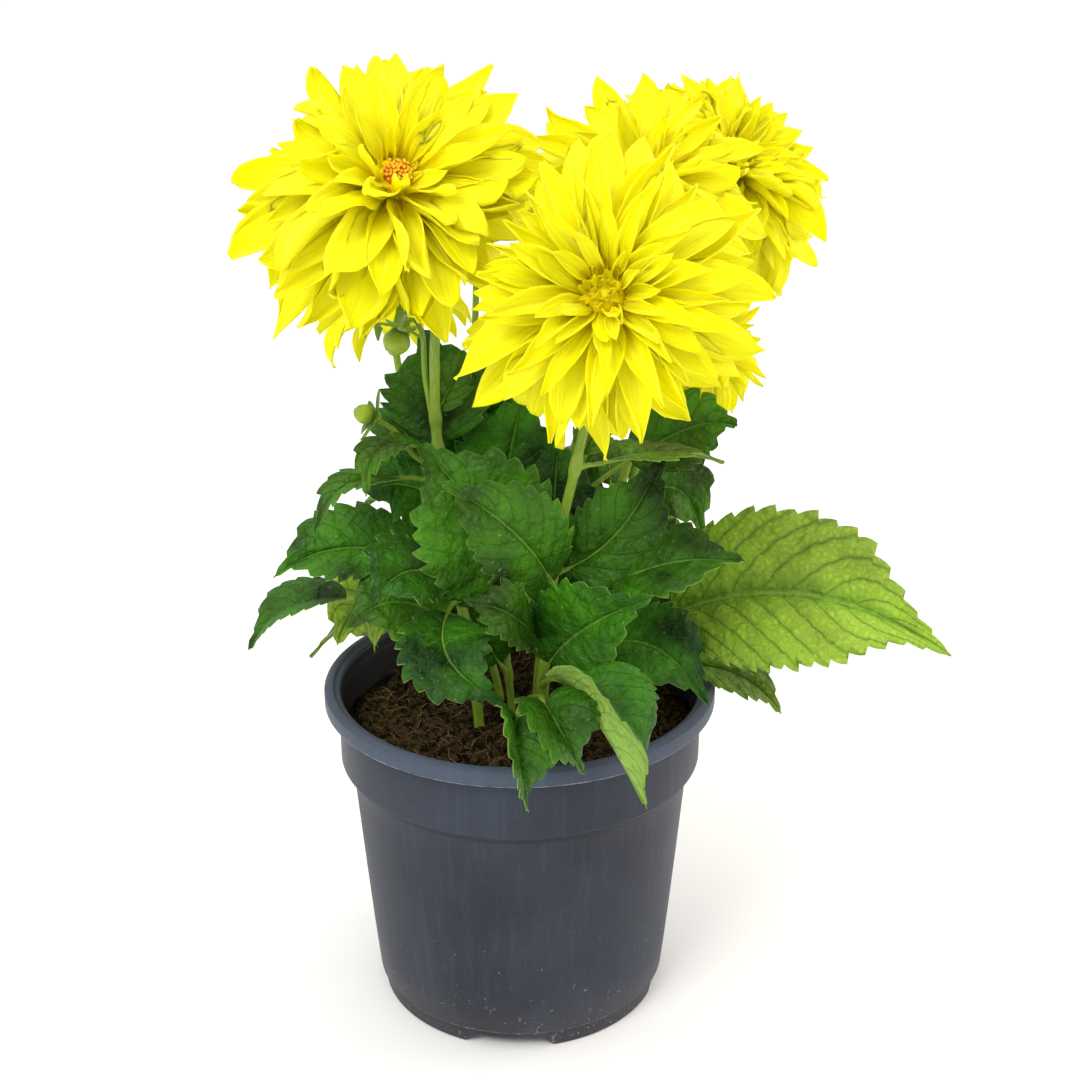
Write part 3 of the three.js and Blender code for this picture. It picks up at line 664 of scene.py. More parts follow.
def leaf_material(settings):
    """Living leaf: waxy satin skin, sunken pale veins and a fine net between them, paler and matt below."""
    material, tree, shader = new_material("Living dahlia leaf")
    place = blade_place(tree)
    here = add(tree, "ShaderNodeTexCoord").outputs["Object"]
    under, young, veins = (add(tree, "ShaderNodeAttribute", attribute_name=key).outputs["Fac"]
                           for key in ("under", "young", "veins"))

    centred = add(tree, "ShaderNodeMath", {0: place["Y"], 1: 0.5}, operation="SUBTRACT")
    side = add(tree, "ShaderNodeMath", {0: centred}, operation="ABSOLUTE")
    across = add(tree, "ShaderNodeMath", {0: side, 1: 2.0}, operation="MULTIPLY")
    bow = add(tree, "ShaderNodeMath", {0: across, 1: VEIN_BOW}, operation="POWER")
    slant = add(tree, "ShaderNodeMath", {0: bow, 1: -VEIN_SLANT, 2: place["X"]}, operation="MULTIPLY_ADD")
    # The veins of one half stand between those of the other
    right_half = add(tree, "ShaderNodeMath", {0: centred, 1: 0.0}, operation="GREATER_THAN")
    offset = add(tree, "ShaderNodeMath", {0: right_half, 1: VEIN_OFFSET}, operation="MULTIPLY")
    phase = add(tree, "ShaderNodeMath", {0: slant, 1: veins, 2: offset}, operation="MULTIPLY_ADD")
    wander = add(tree, "ShaderNodeTexNoise", {"Vector": here, "Scale": 130.0, "Detail": 1.0})
    wandered = add(tree, "ShaderNodeMath", {0: wander, 1: 0.14, 2: phase}, operation="MULTIPLY_ADD")
    apart = add(tree, "ShaderNodeMath", {0: wandered, 1: 0.5}, operation="PINGPONG")
    side_vein = add(tree, "ShaderNodeMapRange", {0: apart, 1: 0.0, 2: 0.045, 3: 1.0, 4: 0.0},
                    interpolation_type="SMOOTHSTEP")
    beside = add(tree, "ShaderNodeMapRange", {0: apart, 1: 0.0, 2: 0.22, 3: 0.65, 4: 0.0},
                 interpolation_type="SMOOTHSTEP")
    near_rib = add(tree, "ShaderNodeMapRange", {0: across, 1: 0.0, 2: 0.3, 3: 1.0, 4: 0.0},
                   interpolation_type="SMOOTHSTEP")
    halo = add(tree, "ShaderNodeMath", {0: beside, 1: near_rib}, operation="MAXIMUM")
    rib = add(tree, "ShaderNodeMapRange", {0: across, 1: 0.01, 2: 0.06, 3: 1.0, 4: 0.0},
              interpolation_type="SMOOTHSTEP")
    near_edge = add(tree, "ShaderNodeMapRange", {0: across, 1: 0.75, 2: 0.97, 3: 1.0, 4: 0.15})
    faded = add(tree, "ShaderNodeMath", {0: side_vein, 1: near_edge}, operation="MULTIPLY")
    vein = add(tree, "ShaderNodeMath", {0: faded, 1: rib}, operation="MAXIMUM")
    # The net of small veins has meshes of about 3 mm, each a little pillow
    bent_net = add(tree, "ShaderNodeMath", {0: wander, 1: 0.004}, operation="MULTIPLY")
    uneven = add(tree, "ShaderNodeVectorMath", {0: here, 1: bent_net}, operation="ADD")
    net = add(tree, "ShaderNodeTexVoronoi", {"Vector": uneven, "Scale": 300.0}, feature="DISTANCE_TO_EDGE")
    mesh_line = add(tree, "ShaderNodeMapRange", {0: net, 1: 0.0, 2: 0.4, 3: 1.0, 4: 0.0},
                    interpolation_type="SMOOTHSTEP")

    patches = add(tree, "ShaderNodeTexNoise", {"Vector": here, "Scale": 28.0, "Detail": 3.0})
    tone = add(tree, "ShaderNodeMapRange", {0: patches, 1: 0.36, 2: 0.66, 3: 0.0, 4: 1.0})
    grown = add(tree, "ShaderNodeMix", {0: tone, 6: settings.dark, 7: settings.mid}, data_type="RGBA")
    between = add(tree, "ShaderNodeMath", {0: halo, 1: -0.5, 2: 1.0}, operation="MULTIPLY_ADD")
    # A pale leaf is greener towards its stalk and in patches
    outward = add(tree, "ShaderNodeMapRange", {0: place["X"], 1: 0.0, 2: 0.55, 3: 0.6, 4: 1.0})
    patchy = add(tree, "ShaderNodeMapRange", {0: patches, 1: 0.3, 2: 0.62, 3: 0.62, 4: 1.0})
    paler = add(tree, "ShaderNodeMath", {0: outward, 1: patchy}, operation="MULTIPLY")
    grade = add(tree, "ShaderNodeMath", {0: between, 1: paler}, operation="MULTIPLY")
    meshes = add(tree, "ShaderNodeMath", {0: mesh_line, 1: -0.12, 2: 1.0}, operation="MULTIPLY_ADD")
    graded = add(tree, "ShaderNodeMath", {0: grade, 1: meshes}, operation="MULTIPLY")
    youth = add(tree, "ShaderNodeMath", {0: young, 1: graded}, operation="MULTIPLY")
    line_amount = add(tree, "ShaderNodeMath", {0: mesh_line, 1: 0.14}, operation="MULTIPLY")
    vein_amount = add(tree, "ShaderNodeMath", {0: vein, 1: 0.26}, operation="MULTIPLY")
    # Pale flecks under 1 mm
    flecks = add(tree, "ShaderNodeTexNoise", {"Vector": here, "Scale": 650.0, "Detail": 1.0})
    fleck = add(tree, "ShaderNodeMapRange", {0: flecks, 1: 0.71, 2: 0.78, 3: 0.0, 4: 0.3})
    edge = add(tree, "ShaderNodeMapRange", {0: across, 1: 0.97, 2: 0.998, 3: 0.0, 4: 0.22})
    above, below = grown, settings.under
    for amount, tint in ((youth, settings.young), (line_amount, linear("#0a2206")), (vein_amount, linear("#8fb556")),
                         (fleck, linear("#a9c48a")), (edge, linear("#9dbb60"))):
        above = add(tree, "ShaderNodeMix", {0: amount, 6: above, 7: tint}, data_type="RGBA")
    for amount, tint in ((line_amount, linear("#54782c")), (vein_amount, linear("#c3d58c"))):
        below = add(tree, "ShaderNodeMix", {0: amount, 6: below, 7: tint}, data_type="RGBA")
    colour = add(tree, "ShaderNodeMix", {0: under, 6: above, 7: below}, data_type="RGBA")

    relief = add(tree, "ShaderNodeMath", {0: vein, 1: -0.6, 2: 0.0}, operation="MULTIPLY_ADD")
    fine = add(tree, "ShaderNodeMath", {0: mesh_line, 1: -0.22, 2: relief}, operation="MULTIPLY_ADD")
    # Soft blisters 4 to 8 mm across between the veins
    blisters = add(tree, "ShaderNodeTexNoise", {"Vector": here, "Scale": 165.0, "Detail": 1.0})
    blister = add(tree, "ShaderNodeMapRange", {0: blisters, 1: 0.3, 2: 0.7, 3: -0.5, 4: 0.5},
                  interpolation_type="SMOOTHSTEP")
    blistered = add(tree, "ShaderNodeMath", {0: blister, 1: fine}, operation="ADD")
    bump = add(tree, "ShaderNodeBump", {"Height": blistered, "Distance": 0.0011, "Strength": 1.0})
    rough = add(tree, "ShaderNodeMapRange", {0: under, 1: 0.0, 2: 1.0, 3: 0.44, 4: 0.7})
    feed(shader, {"Base Color": colour, "Normal": bump, "Roughness": rough, "IOR": 1.42, "Specular IOR Level": 0.24,
                  "Subsurface Weight": 0.05, "Subsurface Radius": (0.4, 1.0, 0.15), "Subsurface Scale": 0.002})
    return material


def stem_material(settings):
    """Living stem: smooth green skin with pale streaks along it."""
    material, tree, shader = new_material("Living dahlia stem")
    here = add(tree, "ShaderNodeTexCoord").outputs["Object"]
    # Streaks about 1 mm wide that run up the stem
    stretched = add(tree, "ShaderNodeMapping", {"Vector": here, "Scale": (900.0, 900.0, 40.0)})
    streaks = add(tree, "ShaderNodeTexNoise", {"Vector": stretched, "Scale": 1.0, "Detail": 2.0})
    patches = add(tree, "ShaderNodeTexNoise", {"Vector": here, "Scale": 22.0, "Detail": 2.0})
    tone = add(tree, "ShaderNodeMapRange", {0: patches, 1: 0.4, 2: 0.7, 3: 0.0, 4: 0.55})
    body = add(tree, "ShaderNodeMix", {0: tone, 6: settings.stem, 7: linear("#4f7a26")}, data_type="RGBA")
    line = add(tree, "ShaderNodeMapRange", {0: streaks, 1: 0.5, 2: 0.75, 3: 0.0, 4: 0.4})
    colour = add(tree, "ShaderNodeMix", {0: line, 6: body, 7: linear("#b6c765")}, data_type="RGBA")
    bump = add(tree, "ShaderNodeBump", {"Height": streaks, "Distance": 0.0004, "Strength": 0.5})
    feed(shader, {"Base Color": colour, "Normal": bump, "Roughness": 0.45, "IOR": 1.42, "Subsurface Weight": 0.1,
                  "Subsurface Radius": (0.5, 1.0, 0.15), "Subsurface Scale": 0.002})
    return material


def petal_material(settings):
    """Living petal: soft matt skin, fine ribs from root to tip, golden at the root and paler on its back."""
    material, tree, shader = new_material("Living dahlia petal")
    place = blade_place(tree)
    under, inner, shade = (add(tree, "ShaderNodeAttribute", attribute_name=key).outputs["Fac"]
                           for key in ("under", "inner", "shade"))

    # Fine lines 1 to 2 mm apart from root to tip, different on each petal
    own = add(tree, "ShaderNodeMath", {0: shade, 1: 61.0}, operation="MULTIPLY")
    spread = add(tree, "ShaderNodeCombineXYZ", {0: place["X"], 1: place["Y"], 2: own})
    stretched = add(tree, "ShaderNodeMapping", {"Vector": spread, "Scale": (1.1, 13.0, 1.0)})
    lines = add(tree, "ShaderNodeTexNoise", {"Vector": stretched, "Scale": 1.0, "Detail": 2.0})
    turns = add(tree, "ShaderNodeMath", {0: place["Y"], 1: PETAL_RIBS * 2 * math.pi}, operation="MULTIPLY")
    ribs = add(tree, "ShaderNodeMath", {0: turns}, operation="COSINE")
    # Golden near the root, more so towards the bloom's middle: partly the petal's own colour, partly painted shade
    # that keeps the shadows deep in the bloom golden
    root_share = add(tree, "ShaderNodeMapRange", {0: place["X"], 1: 0.0, 2: 0.62, 3: 1.0, 4: 0.0},
                     interpolation_type="SMOOTHSTEP")
    gold_reach = add(tree, "ShaderNodeMath", {0: inner, 1: 0.6, 2: 0.45}, operation="MULTIPLY_ADD", use_clamp=True)
    gold_and_painted_shade = add(tree, "ShaderNodeMath", {0: root_share, 1: gold_reach}, operation="MULTIPLY")
    own_tint = add(tree, "ShaderNodeMath", {0: shade, 1: 0.4}, operation="MULTIPLY")
    dark_line = add(tree, "ShaderNodeMapRange", {0: lines, 1: 0.48, 2: 0.3, 3: 0.0, 4: 0.4})
    # Pale lines: partly the petal's pale veins, partly a painted sheen
    pale_line_and_sheen = add(tree, "ShaderNodeMapRange", {0: lines, 1: 0.55, 2: 0.75, 3: 0.0, 4: 0.4})
    back = add(tree, "ShaderNodeMath", {0: under, 1: 0.55}, operation="MULTIPLY")
    colour = settings.petal
    for amount, tint in ((own_tint, linear("#fdf638")), (gold_and_painted_shade, settings.base), (dark_line, linear("#f2dc00")),
                         (pale_line_and_sheen, linear("#fbf666")), (back, settings.pale)):
        colour = add(tree, "ShaderNodeMix", {0: amount, 6: colour, 7: tint}, data_type="RGBA")
    relief = add(tree, "ShaderNodeMath", {0: ribs, 1: 0.35, 2: lines}, operation="MULTIPLY_ADD")
    bump = add(tree, "ShaderNodeBump", {"Height": relief, "Distance": 0.0004, "Strength": 0.55})
    feed(shader, {"Base Color": colour, "Normal": bump, "Roughness": 0.55, "IOR": 1.4, "Specular IOR Level": 0.16,
                  "Subsurface Weight": 0.85, "Subsurface Radius": (1.0, 0.95, 0.02), "Subsurface Scale": 0.0011})
    return material


def floret_material(settings):
    """Living floret: matt orange tube with a paler yellow mouth."""
    material, tree, shader = new_material("Living dahlia floret")
    place = blade_place(tree)
    height = add(tree, "ShaderNodeMapRange", {0: place["X"], 1: 0.2, 2: 0.95, 3: 0.0, 4: 1.0})
    colour = add(tree, "ShaderNodeMix", {0: height, 6: settings.floret, 7: linear("#f5c02c")}, data_type="RGBA")
    feed(shader, {"Base Color": colour, "Roughness": 0.6, "IOR": 1.4, "Subsurface Weight": 0.2,
                  "Subsurface Radius": (1.0, 0.5, 0.1), "Subsurface Scale": 0.002})
    return material


def bud_material(settings):
    """Living sepal: smooth waxy yellow-green, greener at the seat, with fine lines to the point."""
    material, tree, shader = new_material("Living dahlia sepal")
    place = blade_place(tree)
    turns = add(tree, "ShaderNodeMath", {0: place["Y"], 1: SEPAL_LINES * 2 * math.pi}, operation="MULTIPLY")
    lines = add(tree, "ShaderNodeMath", {0: turns}, operation="COSINE")
    seat = add(tree, "ShaderNodeMapRange", {0: place["X"], 1: 0.05, 2: 0.75, 3: 0.8, 4: 0.0})
    body = add(tree, "ShaderNodeMix", {0: seat, 6: settings.bud, 7: linear("#6d9431")}, data_type="RGBA")
    amount = add(tree, "ShaderNodeMapRange", {0: lines, 1: 0.5, 2: 1.0, 3: 0.0, 4: 0.14})
    colour = add(tree, "ShaderNodeMix", {0: amount, 6: body, 7: linear("#d5dc7a")}, data_type="RGBA")
    bump = add(tree, "ShaderNodeBump", {"Height": lines, "Distance": 0.0001, "Strength": 0.4})
    feed(shader, {"Base Color": colour, "Normal": bump, "Roughness": 0.32, "IOR": 1.42, "Subsurface Weight": 0.15,
                  "Subsurface Radius": (0.6, 1.0, 0.1), "Subsurface Scale": 0.003})
    return material


def pot_material(settings):
    """Injection-moulded polypropylene, anthracite: matt satin, faint flow streaks down the wall, rubbed pale
    on its edges, and dust with specks of dried soil low down."""
    material, tree, shader = new_material("Moulded anthracite polypropylene")
    here = add(tree, "ShaderNodeTexCoord").outputs["Object"]
    place = add(tree, "ShaderNodeSeparateXYZ", {0: here}).outputs
    # Flow streaks 3 to 6 mm wide that run down the wall
    stretched = add(tree, "ShaderNodeMapping", {"Vector": here, "Scale": (220.0, 220.0, 9.0)})
    streaks = add(tree, "ShaderNodeTexNoise", {"Vector": stretched, "Scale": 1.0, "Detail": 3.0})
    clouds = add(tree, "ShaderNodeTexNoise", {"Vector": here, "Scale": 14.0, "Detail": 4.0})
    grain = add(tree, "ShaderNodeTexNoise", {"Vector": here, "Scale": 1300.0, "Detail": 2.0})
    streak = add(tree, "ShaderNodeMapRange", {0: streaks, 1: 0.5, 2: 0.8, 3: 0.0, 4: 0.13})
    cloud = add(tree, "ShaderNodeMapRange", {0: clouds, 1: 0.4, 2: 0.72, 3: 0.03, 4: 0.26})
    mottle = add(tree, "ShaderNodeMapRange", {0: grain, 1: 0.4, 2: 0.7, 3: 0.0, 4: 0.12})
    both = add(tree, "ShaderNodeMath", {0: streak, 1: mottle}, operation="ADD")
    rubbed = add(tree, "ShaderNodeMath", {0: both, 1: cloud}, operation="ADD")
    # The rim band and the rim's top are rubbed paler than the wall
    rim = add(tree, "ShaderNodeMapRange",
              {0: place["Z"], 1: (BAND_Z - 2.5) * MM, 2: (BAND_Z + 1.5) * MM, 3: 0.0, 4: 0.5})
    worn = add(tree, "ShaderNodeMath", {0: rubbed, 1: rim}, operation="ADD", use_clamp=True)
    # Thin pale lines where the mould parted, under the rim's band and above the foot
    level = add(tree, "ShaderNodeMath", {0: clouds, 1: 1.2 * MM, 2: place["Z"]}, operation="MULTIPLY_ADD")
    under_band = add(tree, "ShaderNodeMath", {0: level, 1: (BAND_Z + 0.8) * MM, 2: 0.5 * MM}, operation="COMPARE")
    over_foot = add(tree, "ShaderNodeMath", {0: level, 1: (FOOT_HEIGHT + 1.2) * MM, 2: 0.4 * MM}, operation="COMPARE")
    parting = add(tree, "ShaderNodeMath", {0: under_band, 1: over_foot}, operation="MAXIMUM")
    broken = add(tree, "ShaderNodeMapRange", {0: streaks, 1: 0.35, 2: 0.6, 3: 0.1, 4: 0.7})
    flash = add(tree, "ShaderNodeMath", {0: parting, 1: broken}, operation="MULTIPLY")
    # Painted shade: inside, above the step, the wall is painted darker, near black
    level_xy = add(tree, "ShaderNodeCombineXYZ", {0: place["X"], 1: place["Y"]})
    radius = add(tree, "ShaderNodeVectorMath", {0: level_xy}, operation="LENGTH")
    within = add(tree, "ShaderNodeMath", {0: radius, 1: (SHOULDER_RADIUS - 0.8) * MM}, operation="LESS_THAN")
    high = add(tree, "ShaderNodeMath", {0: place["Z"], 1: (STEP_Z + 2.5) * MM}, operation="GREATER_THAN")
    inside = add(tree, "ShaderNodeMath", {0: within, 1: high}, operation="MULTIPLY")
    # Painted shadow in the crease under the shoulder
    crease = add(tree, "ShaderNodeMapRange",
                 {0: place["Z"], 1: (STEP_Z - 6.2) * MM, 2: (STEP_Z - 4.5) * MM, 3: 1.0, 4: 0.0})
    over_wall = add(tree, "ShaderNodeMath", {0: place["Z"], 1: (STEP_Z - 7.4) * MM}, operation="GREATER_THAN")
    crease_shadow = add(tree, "ShaderNodeMath", {0: crease, 1: over_wall}, operation="MULTIPLY")
    # The painted shadow in the crease and the painted shade inside, as one share that mixes towards near black
    painted_shade_share = add(tree, "ShaderNodeMath", {0: crease_shadow, 1: 0.5, 2: inside}, operation="MULTIPLY_ADD", use_clamp=True)
    painted_shade = add(tree, "ShaderNodeMath", {0: painted_shade_share, 1: 0.85}, operation="MULTIPLY")
    # Specks of dried soil 1 to 2 mm across, most of them near the foot
    specks = add(tree, "ShaderNodeTexNoise", {"Vector": here, "Scale": 420.0, "Detail": 2.0, "Roughness": 0.7})
    low = add(tree, "ShaderNodeMapRange", {0: place["Z"], 1: 0.0, 2: 0.09, 3: 0.635, 4: 0.78})
    over = add(tree, "ShaderNodeMath", {0: specks, 1: low}, operation="SUBTRACT")
    speck = add(tree, "ShaderNodeMapRange", {0: over, 1: 0.0, 2: 0.04, 3: 0.0, 4: 0.8})
    foot = add(tree, "ShaderNodeMapRange", {0: place["Z"], 1: 0.0, 2: 0.035, 3: 0.2, 4: 0.0})
    film = add(tree, "ShaderNodeMath", {0: foot, 1: clouds}, operation="MULTIPLY")
    dirt = add(tree, "ShaderNodeMath", {0: speck, 1: film}, operation="MAXIMUM")
    colour = settings.colour
    for amount, tint in ((worn, settings.scuffed), (flash, linear("#98a0a6")), (painted_shade, linear("#0b0d0e")),
                         (dirt, settings.dust)):
        colour = add(tree, "ShaderNodeMix", {0: amount, 6: colour, 7: tint}, data_type="RGBA")
    height = add(tree, "ShaderNodeMath", {0: grain, 1: 0.3, 2: streaks}, operation="MULTIPLY_ADD")
    bump = add(tree, "ShaderNodeBump", {"Height": height, "Distance": 0.0002, "Strength": 0.3})
    rough = add(tree, "ShaderNodeMapRange", {0: clouds, 1: 0.3, 2: 0.7, 3: 0.42, 4: 0.58})
    feed(shader, {"Base Color": colour, "Normal": bump, "Roughness": rough, "IOR": 1.49, "Specular IOR Level": 0.3})
    return material


def soil_material(settings):
    """Moist fibrous compost: fully matt, brown on crumbs and fibres, with painted shade near black in its hollows."""
    material, tree, shader = new_material("Moist coir compost")
    here = add(tree, "ShaderNodeTexCoord").outputs["Object"]
    shade = add(tree, "ShaderNodeAttribute", attribute_name="shade").outputs["Fac"]
    lumps = add(tree, "ShaderNodeTexNoise", {"Vector": here, "Scale": 160.0, "Detail": 5.0, "Roughness": 0.7})
    grains = add(tree, "ShaderNodeTexNoise", {"Vector": here, "Scale": 900.0, "Detail": 2.0})
    mixed = add(tree, "ShaderNodeMath", {0: lumps, 1: grains}, operation="MULTIPLY")
    # Painted shade and light: the compost is darker where its relief is low and paler where it is high
    tone = add(tree, "ShaderNodeMapRange", {0: mixed, 1: 0.2, 2: 0.42, 3: 0.0, 4: 0.25})
    total = add(tree, "ShaderNodeMath", {0: tone, 1: shade}, operation="ADD", use_clamp=True)
    colour = add(tree, "ShaderNodeMix", {0: total, 6: settings.dark, 7: settings.light}, data_type="RGBA")
    bump = add(tree, "ShaderNodeBump", {"Height": mixed, "Distance": 0.002, "Strength": 0.9})
    feed(shader, {"Base Color": colour, "Normal": bump, "Roughness": 0.95, "Specular IOR Level": 0.05})
    return material


# Pot

def pot_profile():
    """The wall's outline from the middle of the underside, out, up and back down inside, in millimetres."""
    outside = [
        (0, 0), (HUB_RADIUS - 0.6, 0), (HUB_RADIUS, 0.6), (HUB_RADIUS, FLOOR_Z), (FOOT_RADIUS - WALL, FLOOR_Z),
        (FOOT_RADIUS - WALL, 0.4), (FOOT_RADIUS - WALL + 0.4, 0), (FOOT_RADIUS - 0.6, 0), (FOOT_RADIUS, 0.6),
        (FOOT_RADIUS + 0.4, FOOT_HEIGHT - 0.6), (FOOT_RADIUS + 1, FOOT_HEIGHT),
        (BASE_RADIUS - 0.6, FOOT_HEIGHT + 0.4), (BASE_RADIUS, FOOT_HEIGHT + 1.2),
    ]
    for i in range(1, 9):
        share = i / 8
        outside.append((BASE_RADIUS + (BODY_RADIUS - BASE_RADIUS) * share ** 0.92,
                        FOOT_HEIGHT + 1.2 + (STEP_Z - 6.01 - FOOT_HEIGHT - 1.2) * share))
    # The soft step under the shoulder
    for i in range(1, 11):
        share = i / 10
        outside.append((BODY_RADIUS + 5.2 * smooth_step(0, 1, share) ** 0.8 + 0.3 * share, STEP_Z - 6 + 5.5 * share))
    outside += [
        (SHOULDER_RADIUS - 0.4, BAND_Z - 8), (SHOULDER_RADIUS, BAND_Z),
        (RIM_RADIUS - 0.5, BAND_Z), (RIM_RADIUS - 0.05, BAND_Z + 0.5), (RIM_RADIUS, BAND_Z + 1.4),
        (RIM_RADIUS, POT_HEIGHT - 2.2), (RIM_RADIUS - 0.3, POT_HEIGHT - 1.4), (RIM_RADIUS - 1.8, POT_HEIGHT - 0.3),
        (RIM_RADIUS - 2.6, POT_HEIGHT), (RIM_RADIUS - 4.0, POT_HEIGHT), (RIM_RADIUS - 4.6, POT_HEIGHT - 0.4),
        (RIM_RADIUS - 4.9, POT_HEIGHT - 1.4), (RIM_RADIUS - 7.2, POT_HEIGHT - 2.0),
    ]
    inside = [
        (SHOULDER_RADIUS - WALL + 0.5, POT_HEIGHT - 2.6), (SHOULDER_RADIUS - WALL, POT_HEIGHT - 4),
        (SHOULDER_RADIUS - WALL - 1, STEP_Z + 2), (BODY_RADIUS - WALL, STEP_Z - 7),
        (BASE_RADIUS - WALL - 0.4, FLOOR_Z + WALL + 3), (BASE_RADIUS - WALL - 3, FLOOR_Z + WALL), (0, FLOOR_Z + WALL),
    ]
    return outside + inside


def turned(name, profile, sides):
    """A profile of radius and height turned about the upright axis, closed where it meets the axis."""
    points, faces, rings = [], [], []
    for r, z in profile:
        if r == 0:
            rings.append([len(points)])
            points.append((0, 0, z * MM))
            continue
        rings.append(list(range(len(points), len(points) + sides)))
        for k in range(sides):
            turn = 2 * math.pi * k / sides
            points.append((r * MM * math.sin(turn), -r * MM * math.cos(turn), z * MM))
    for near, far in zip(rings, rings[1:]):
        for k in range(sides):
            n = (k + 1) % sides
            if len(near) == 1:
                faces.append((near[0], far[n], far[k]))
            elif len(far) == 1:
                faces.append((near[k], near[n], far[0]))
            else:
                faces.append((near[k], near[n], far[n], far[k]))
    return new_mesh(name, points, faces)


def cutters():
    """The notches of the foot and the drain holes, as one object."""
    tool = bmesh.new()
    for k in range(NOTCHES):
        turn = Matrix.Rotation(math.radians(-NOTCH_TURN) + 2 * math.pi * k / NOTCHES, 4, "Z")
        place = Matrix.Translation(point((0, -FOOT_RADIUS, 0)))
        size = Matrix.Diagonal((NOTCH_WIDTH * MM, 14 * MM, 2 * NOTCH_HEIGHT * MM, 1))
        block = bmesh.ops.create_cube(tool, size=1, matrix=place @ size)["verts"]
        # The sides of a notch lean out
        for vertex in block:
            if vertex.co.z < 0:
                vertex.co.x *= 1.9
            vertex.co = turn @ vertex.co
    turn = Matrix.Rotation(math.radians(-RECESS_TURN), 4, "Z")
    place = Matrix.Translation(point((0, -RIM_RADIUS + RECESS_INSET, POT_HEIGHT)))
    bmesh.ops.create_cube(tool, size=1, matrix=turn @ place @ Matrix.Diagonal(point(RECESS_SIZE)).to_4x4())
    for k in range(DRAIN_HOLES):
        turn = 2 * math.pi * (k + 0.5) / DRAIN_HOLES
        place = point((DRAIN_CIRCLE * math.cos(turn), DRAIN_CIRCLE * math.sin(turn), FLOOR_Z + WALL / 2))
        bmesh.ops.create_cone(tool, cap_ends=True, segments=24, radius1=DRAIN_RADIUS * MM,
                              radius2=DRAIN_RADIUS * MM, depth=WALL * 3 * MM, matrix=Matrix.Translation(place))
    mesh = bpy.data.meshes.new("cutters")
    tool.to_mesh(mesh)
    tool.free()
    return new_object("cutters", mesh)


class DahliaPot(bpy.types.Operator):
    """Turns the pot from its profile and cuts its notches and drain holes"""
    bl_idname = "dahlia.pot"
    bl_label = "Pot"

    def execute(self, context):
        settings = context.scene.dahlia_pot
        blank = new_object("pot_blank", turned("pot_shell", pot_profile(), settings.sides))
        tool = cutters()
        cut = blank.modifiers.new("cut", "BOOLEAN")
        cut.object = tool
        cut.solver = "EXACT"
        mesh = frozen(blank, "pot_shell", cut)
        bpy.data.objects.remove(tool)
        mesh.set_sharp_from_angle(angle=math.radians(32))
        finish_piece(new_object("pot_shell", mesh, [pot_material(settings)]), "pot")
        return {"FINISHED"}


# Soil

SOIL_GAP = 0.3
SOIL_RINGS = 34
SOIL_SIDES = 110
# Different crumbs, and different fibres
FORMS = 5
FIBRE_LENGTH = 14
# Crumbs and fibres a square metre
CRUMB_DENSITY = 150000.0
FIBRE_DENSITY = 50000.0


def crumble(x, y):
    """Height of the soil over its mean level, in metres, at a place in metres."""
    wide = 0.5 * math.sin(x / MM * 0.21 + 1.3) * math.cos(y / MM * 0.17)
    small = 0.5 * math.sin(x / MM * 0.47 - y / MM * 0.39 + 0.6)
    grain = noise.fractal(Vector((x, y, 0)) * 150, 1.0, 2.0, 3)
    return (2.0 * (wide + small) + 2.0 * grain) * MM


def soil_mesh():
    """The body of the soil with a crumbly top."""
    inset = WALL + SOIL_GAP
    profile = [
        (0, FLOOR_Z + inset), (BASE_RADIUS - inset - 3.2, FLOOR_Z + inset),
        (BASE_RADIUS - inset - 0.4, FLOOR_Z + WALL + 3.4), (BODY_RADIUS - inset, STEP_Z - 7),
        (SHOULDER_RADIUS - inset - 1.1, STEP_Z + 2.2), (SHOULDER_RADIUS - inset - 0.9, SOIL_Z - 2),
    ]
    profile += [((SHOULDER_RADIUS - inset - 1.4) * (1 - i / SOIL_RINGS), SOIL_Z) for i in range(SOIL_RINGS)]
    profile.append((0, SOIL_Z))
    mesh = turned("soil_body", profile, SOIL_SIDES)
    for vertex in mesh.vertices:
        if vertex.co.z > (SOIL_Z - 0.01) * MM:
            vertex.co.z += crumble(vertex.co.x, vertex.co.y)
    layer = mesh.attributes.new("top", "BOOLEAN", "FACE")
    layer.data.foreach_set("value", [face.center.z > (SOIL_Z - 3.5) * MM and face.center.xy.length < 79 * MM
                                     for face in mesh.polygons])
    return mesh


def crumb_forms():
    """A few crumbs of compost, about 1 across, in a collection of their own."""
    meshes = []
    draw = random.Random(2)
    for k in range(FORMS):
        shape = bmesh.new()
        bmesh.ops.create_icosphere(shape, subdivisions=1, radius=0.5)
        stretch = Vector((1, draw.uniform(0.5, 0.9), draw.uniform(0.45, 0.8)))
        for vertex in shape.verts:
            vertex.co = Vector(a * b for a, b in zip(vertex.co, stretch)) * draw.uniform(0.75, 1.15)
        mesh = bpy.data.meshes.new(f"crumb_{k}")
        shape.to_mesh(mesh)
        shape.free()
        meshes.append(mesh)
    return form_collection("crumb forms", meshes)


def fibre_forms():
    """A few bent fibres, about 1 long, in a collection of their own."""
    meshes = []
    draw = random.Random(4)
    for k in range(FORMS):
        points, faces = [], []
        bow = draw.uniform(0.08, 0.3)
        sides, steps = 3, 5
        for i in range(steps + 1):
            s = i / steps
            thick = 0.03 * (1 - 0.6 * abs(2 * s - 1))
            middle = Vector((s - 0.5, bow * math.sin(math.pi * s), 0.12 * math.sin(2 * math.pi * s) + bow * s))
            for j in range(sides):
                turn = 2 * math.pi * j / sides
                points.append(middle + Vector((0, thick * math.cos(turn), thick * math.sin(turn))))
        for i in range(steps):
            for j in range(sides):
                a, b = i * sides + j, i * sides + (j + 1) % sides
                faces.append((a, b, b + sides, a + sides))
        faces += [(2, 1, 0), (steps * sides, steps * sides + 1, steps * sides + 2)]
        meshes.append(new_mesh(f"fibre_{k}", points, faces))
    return form_collection("fibre forms", meshes)


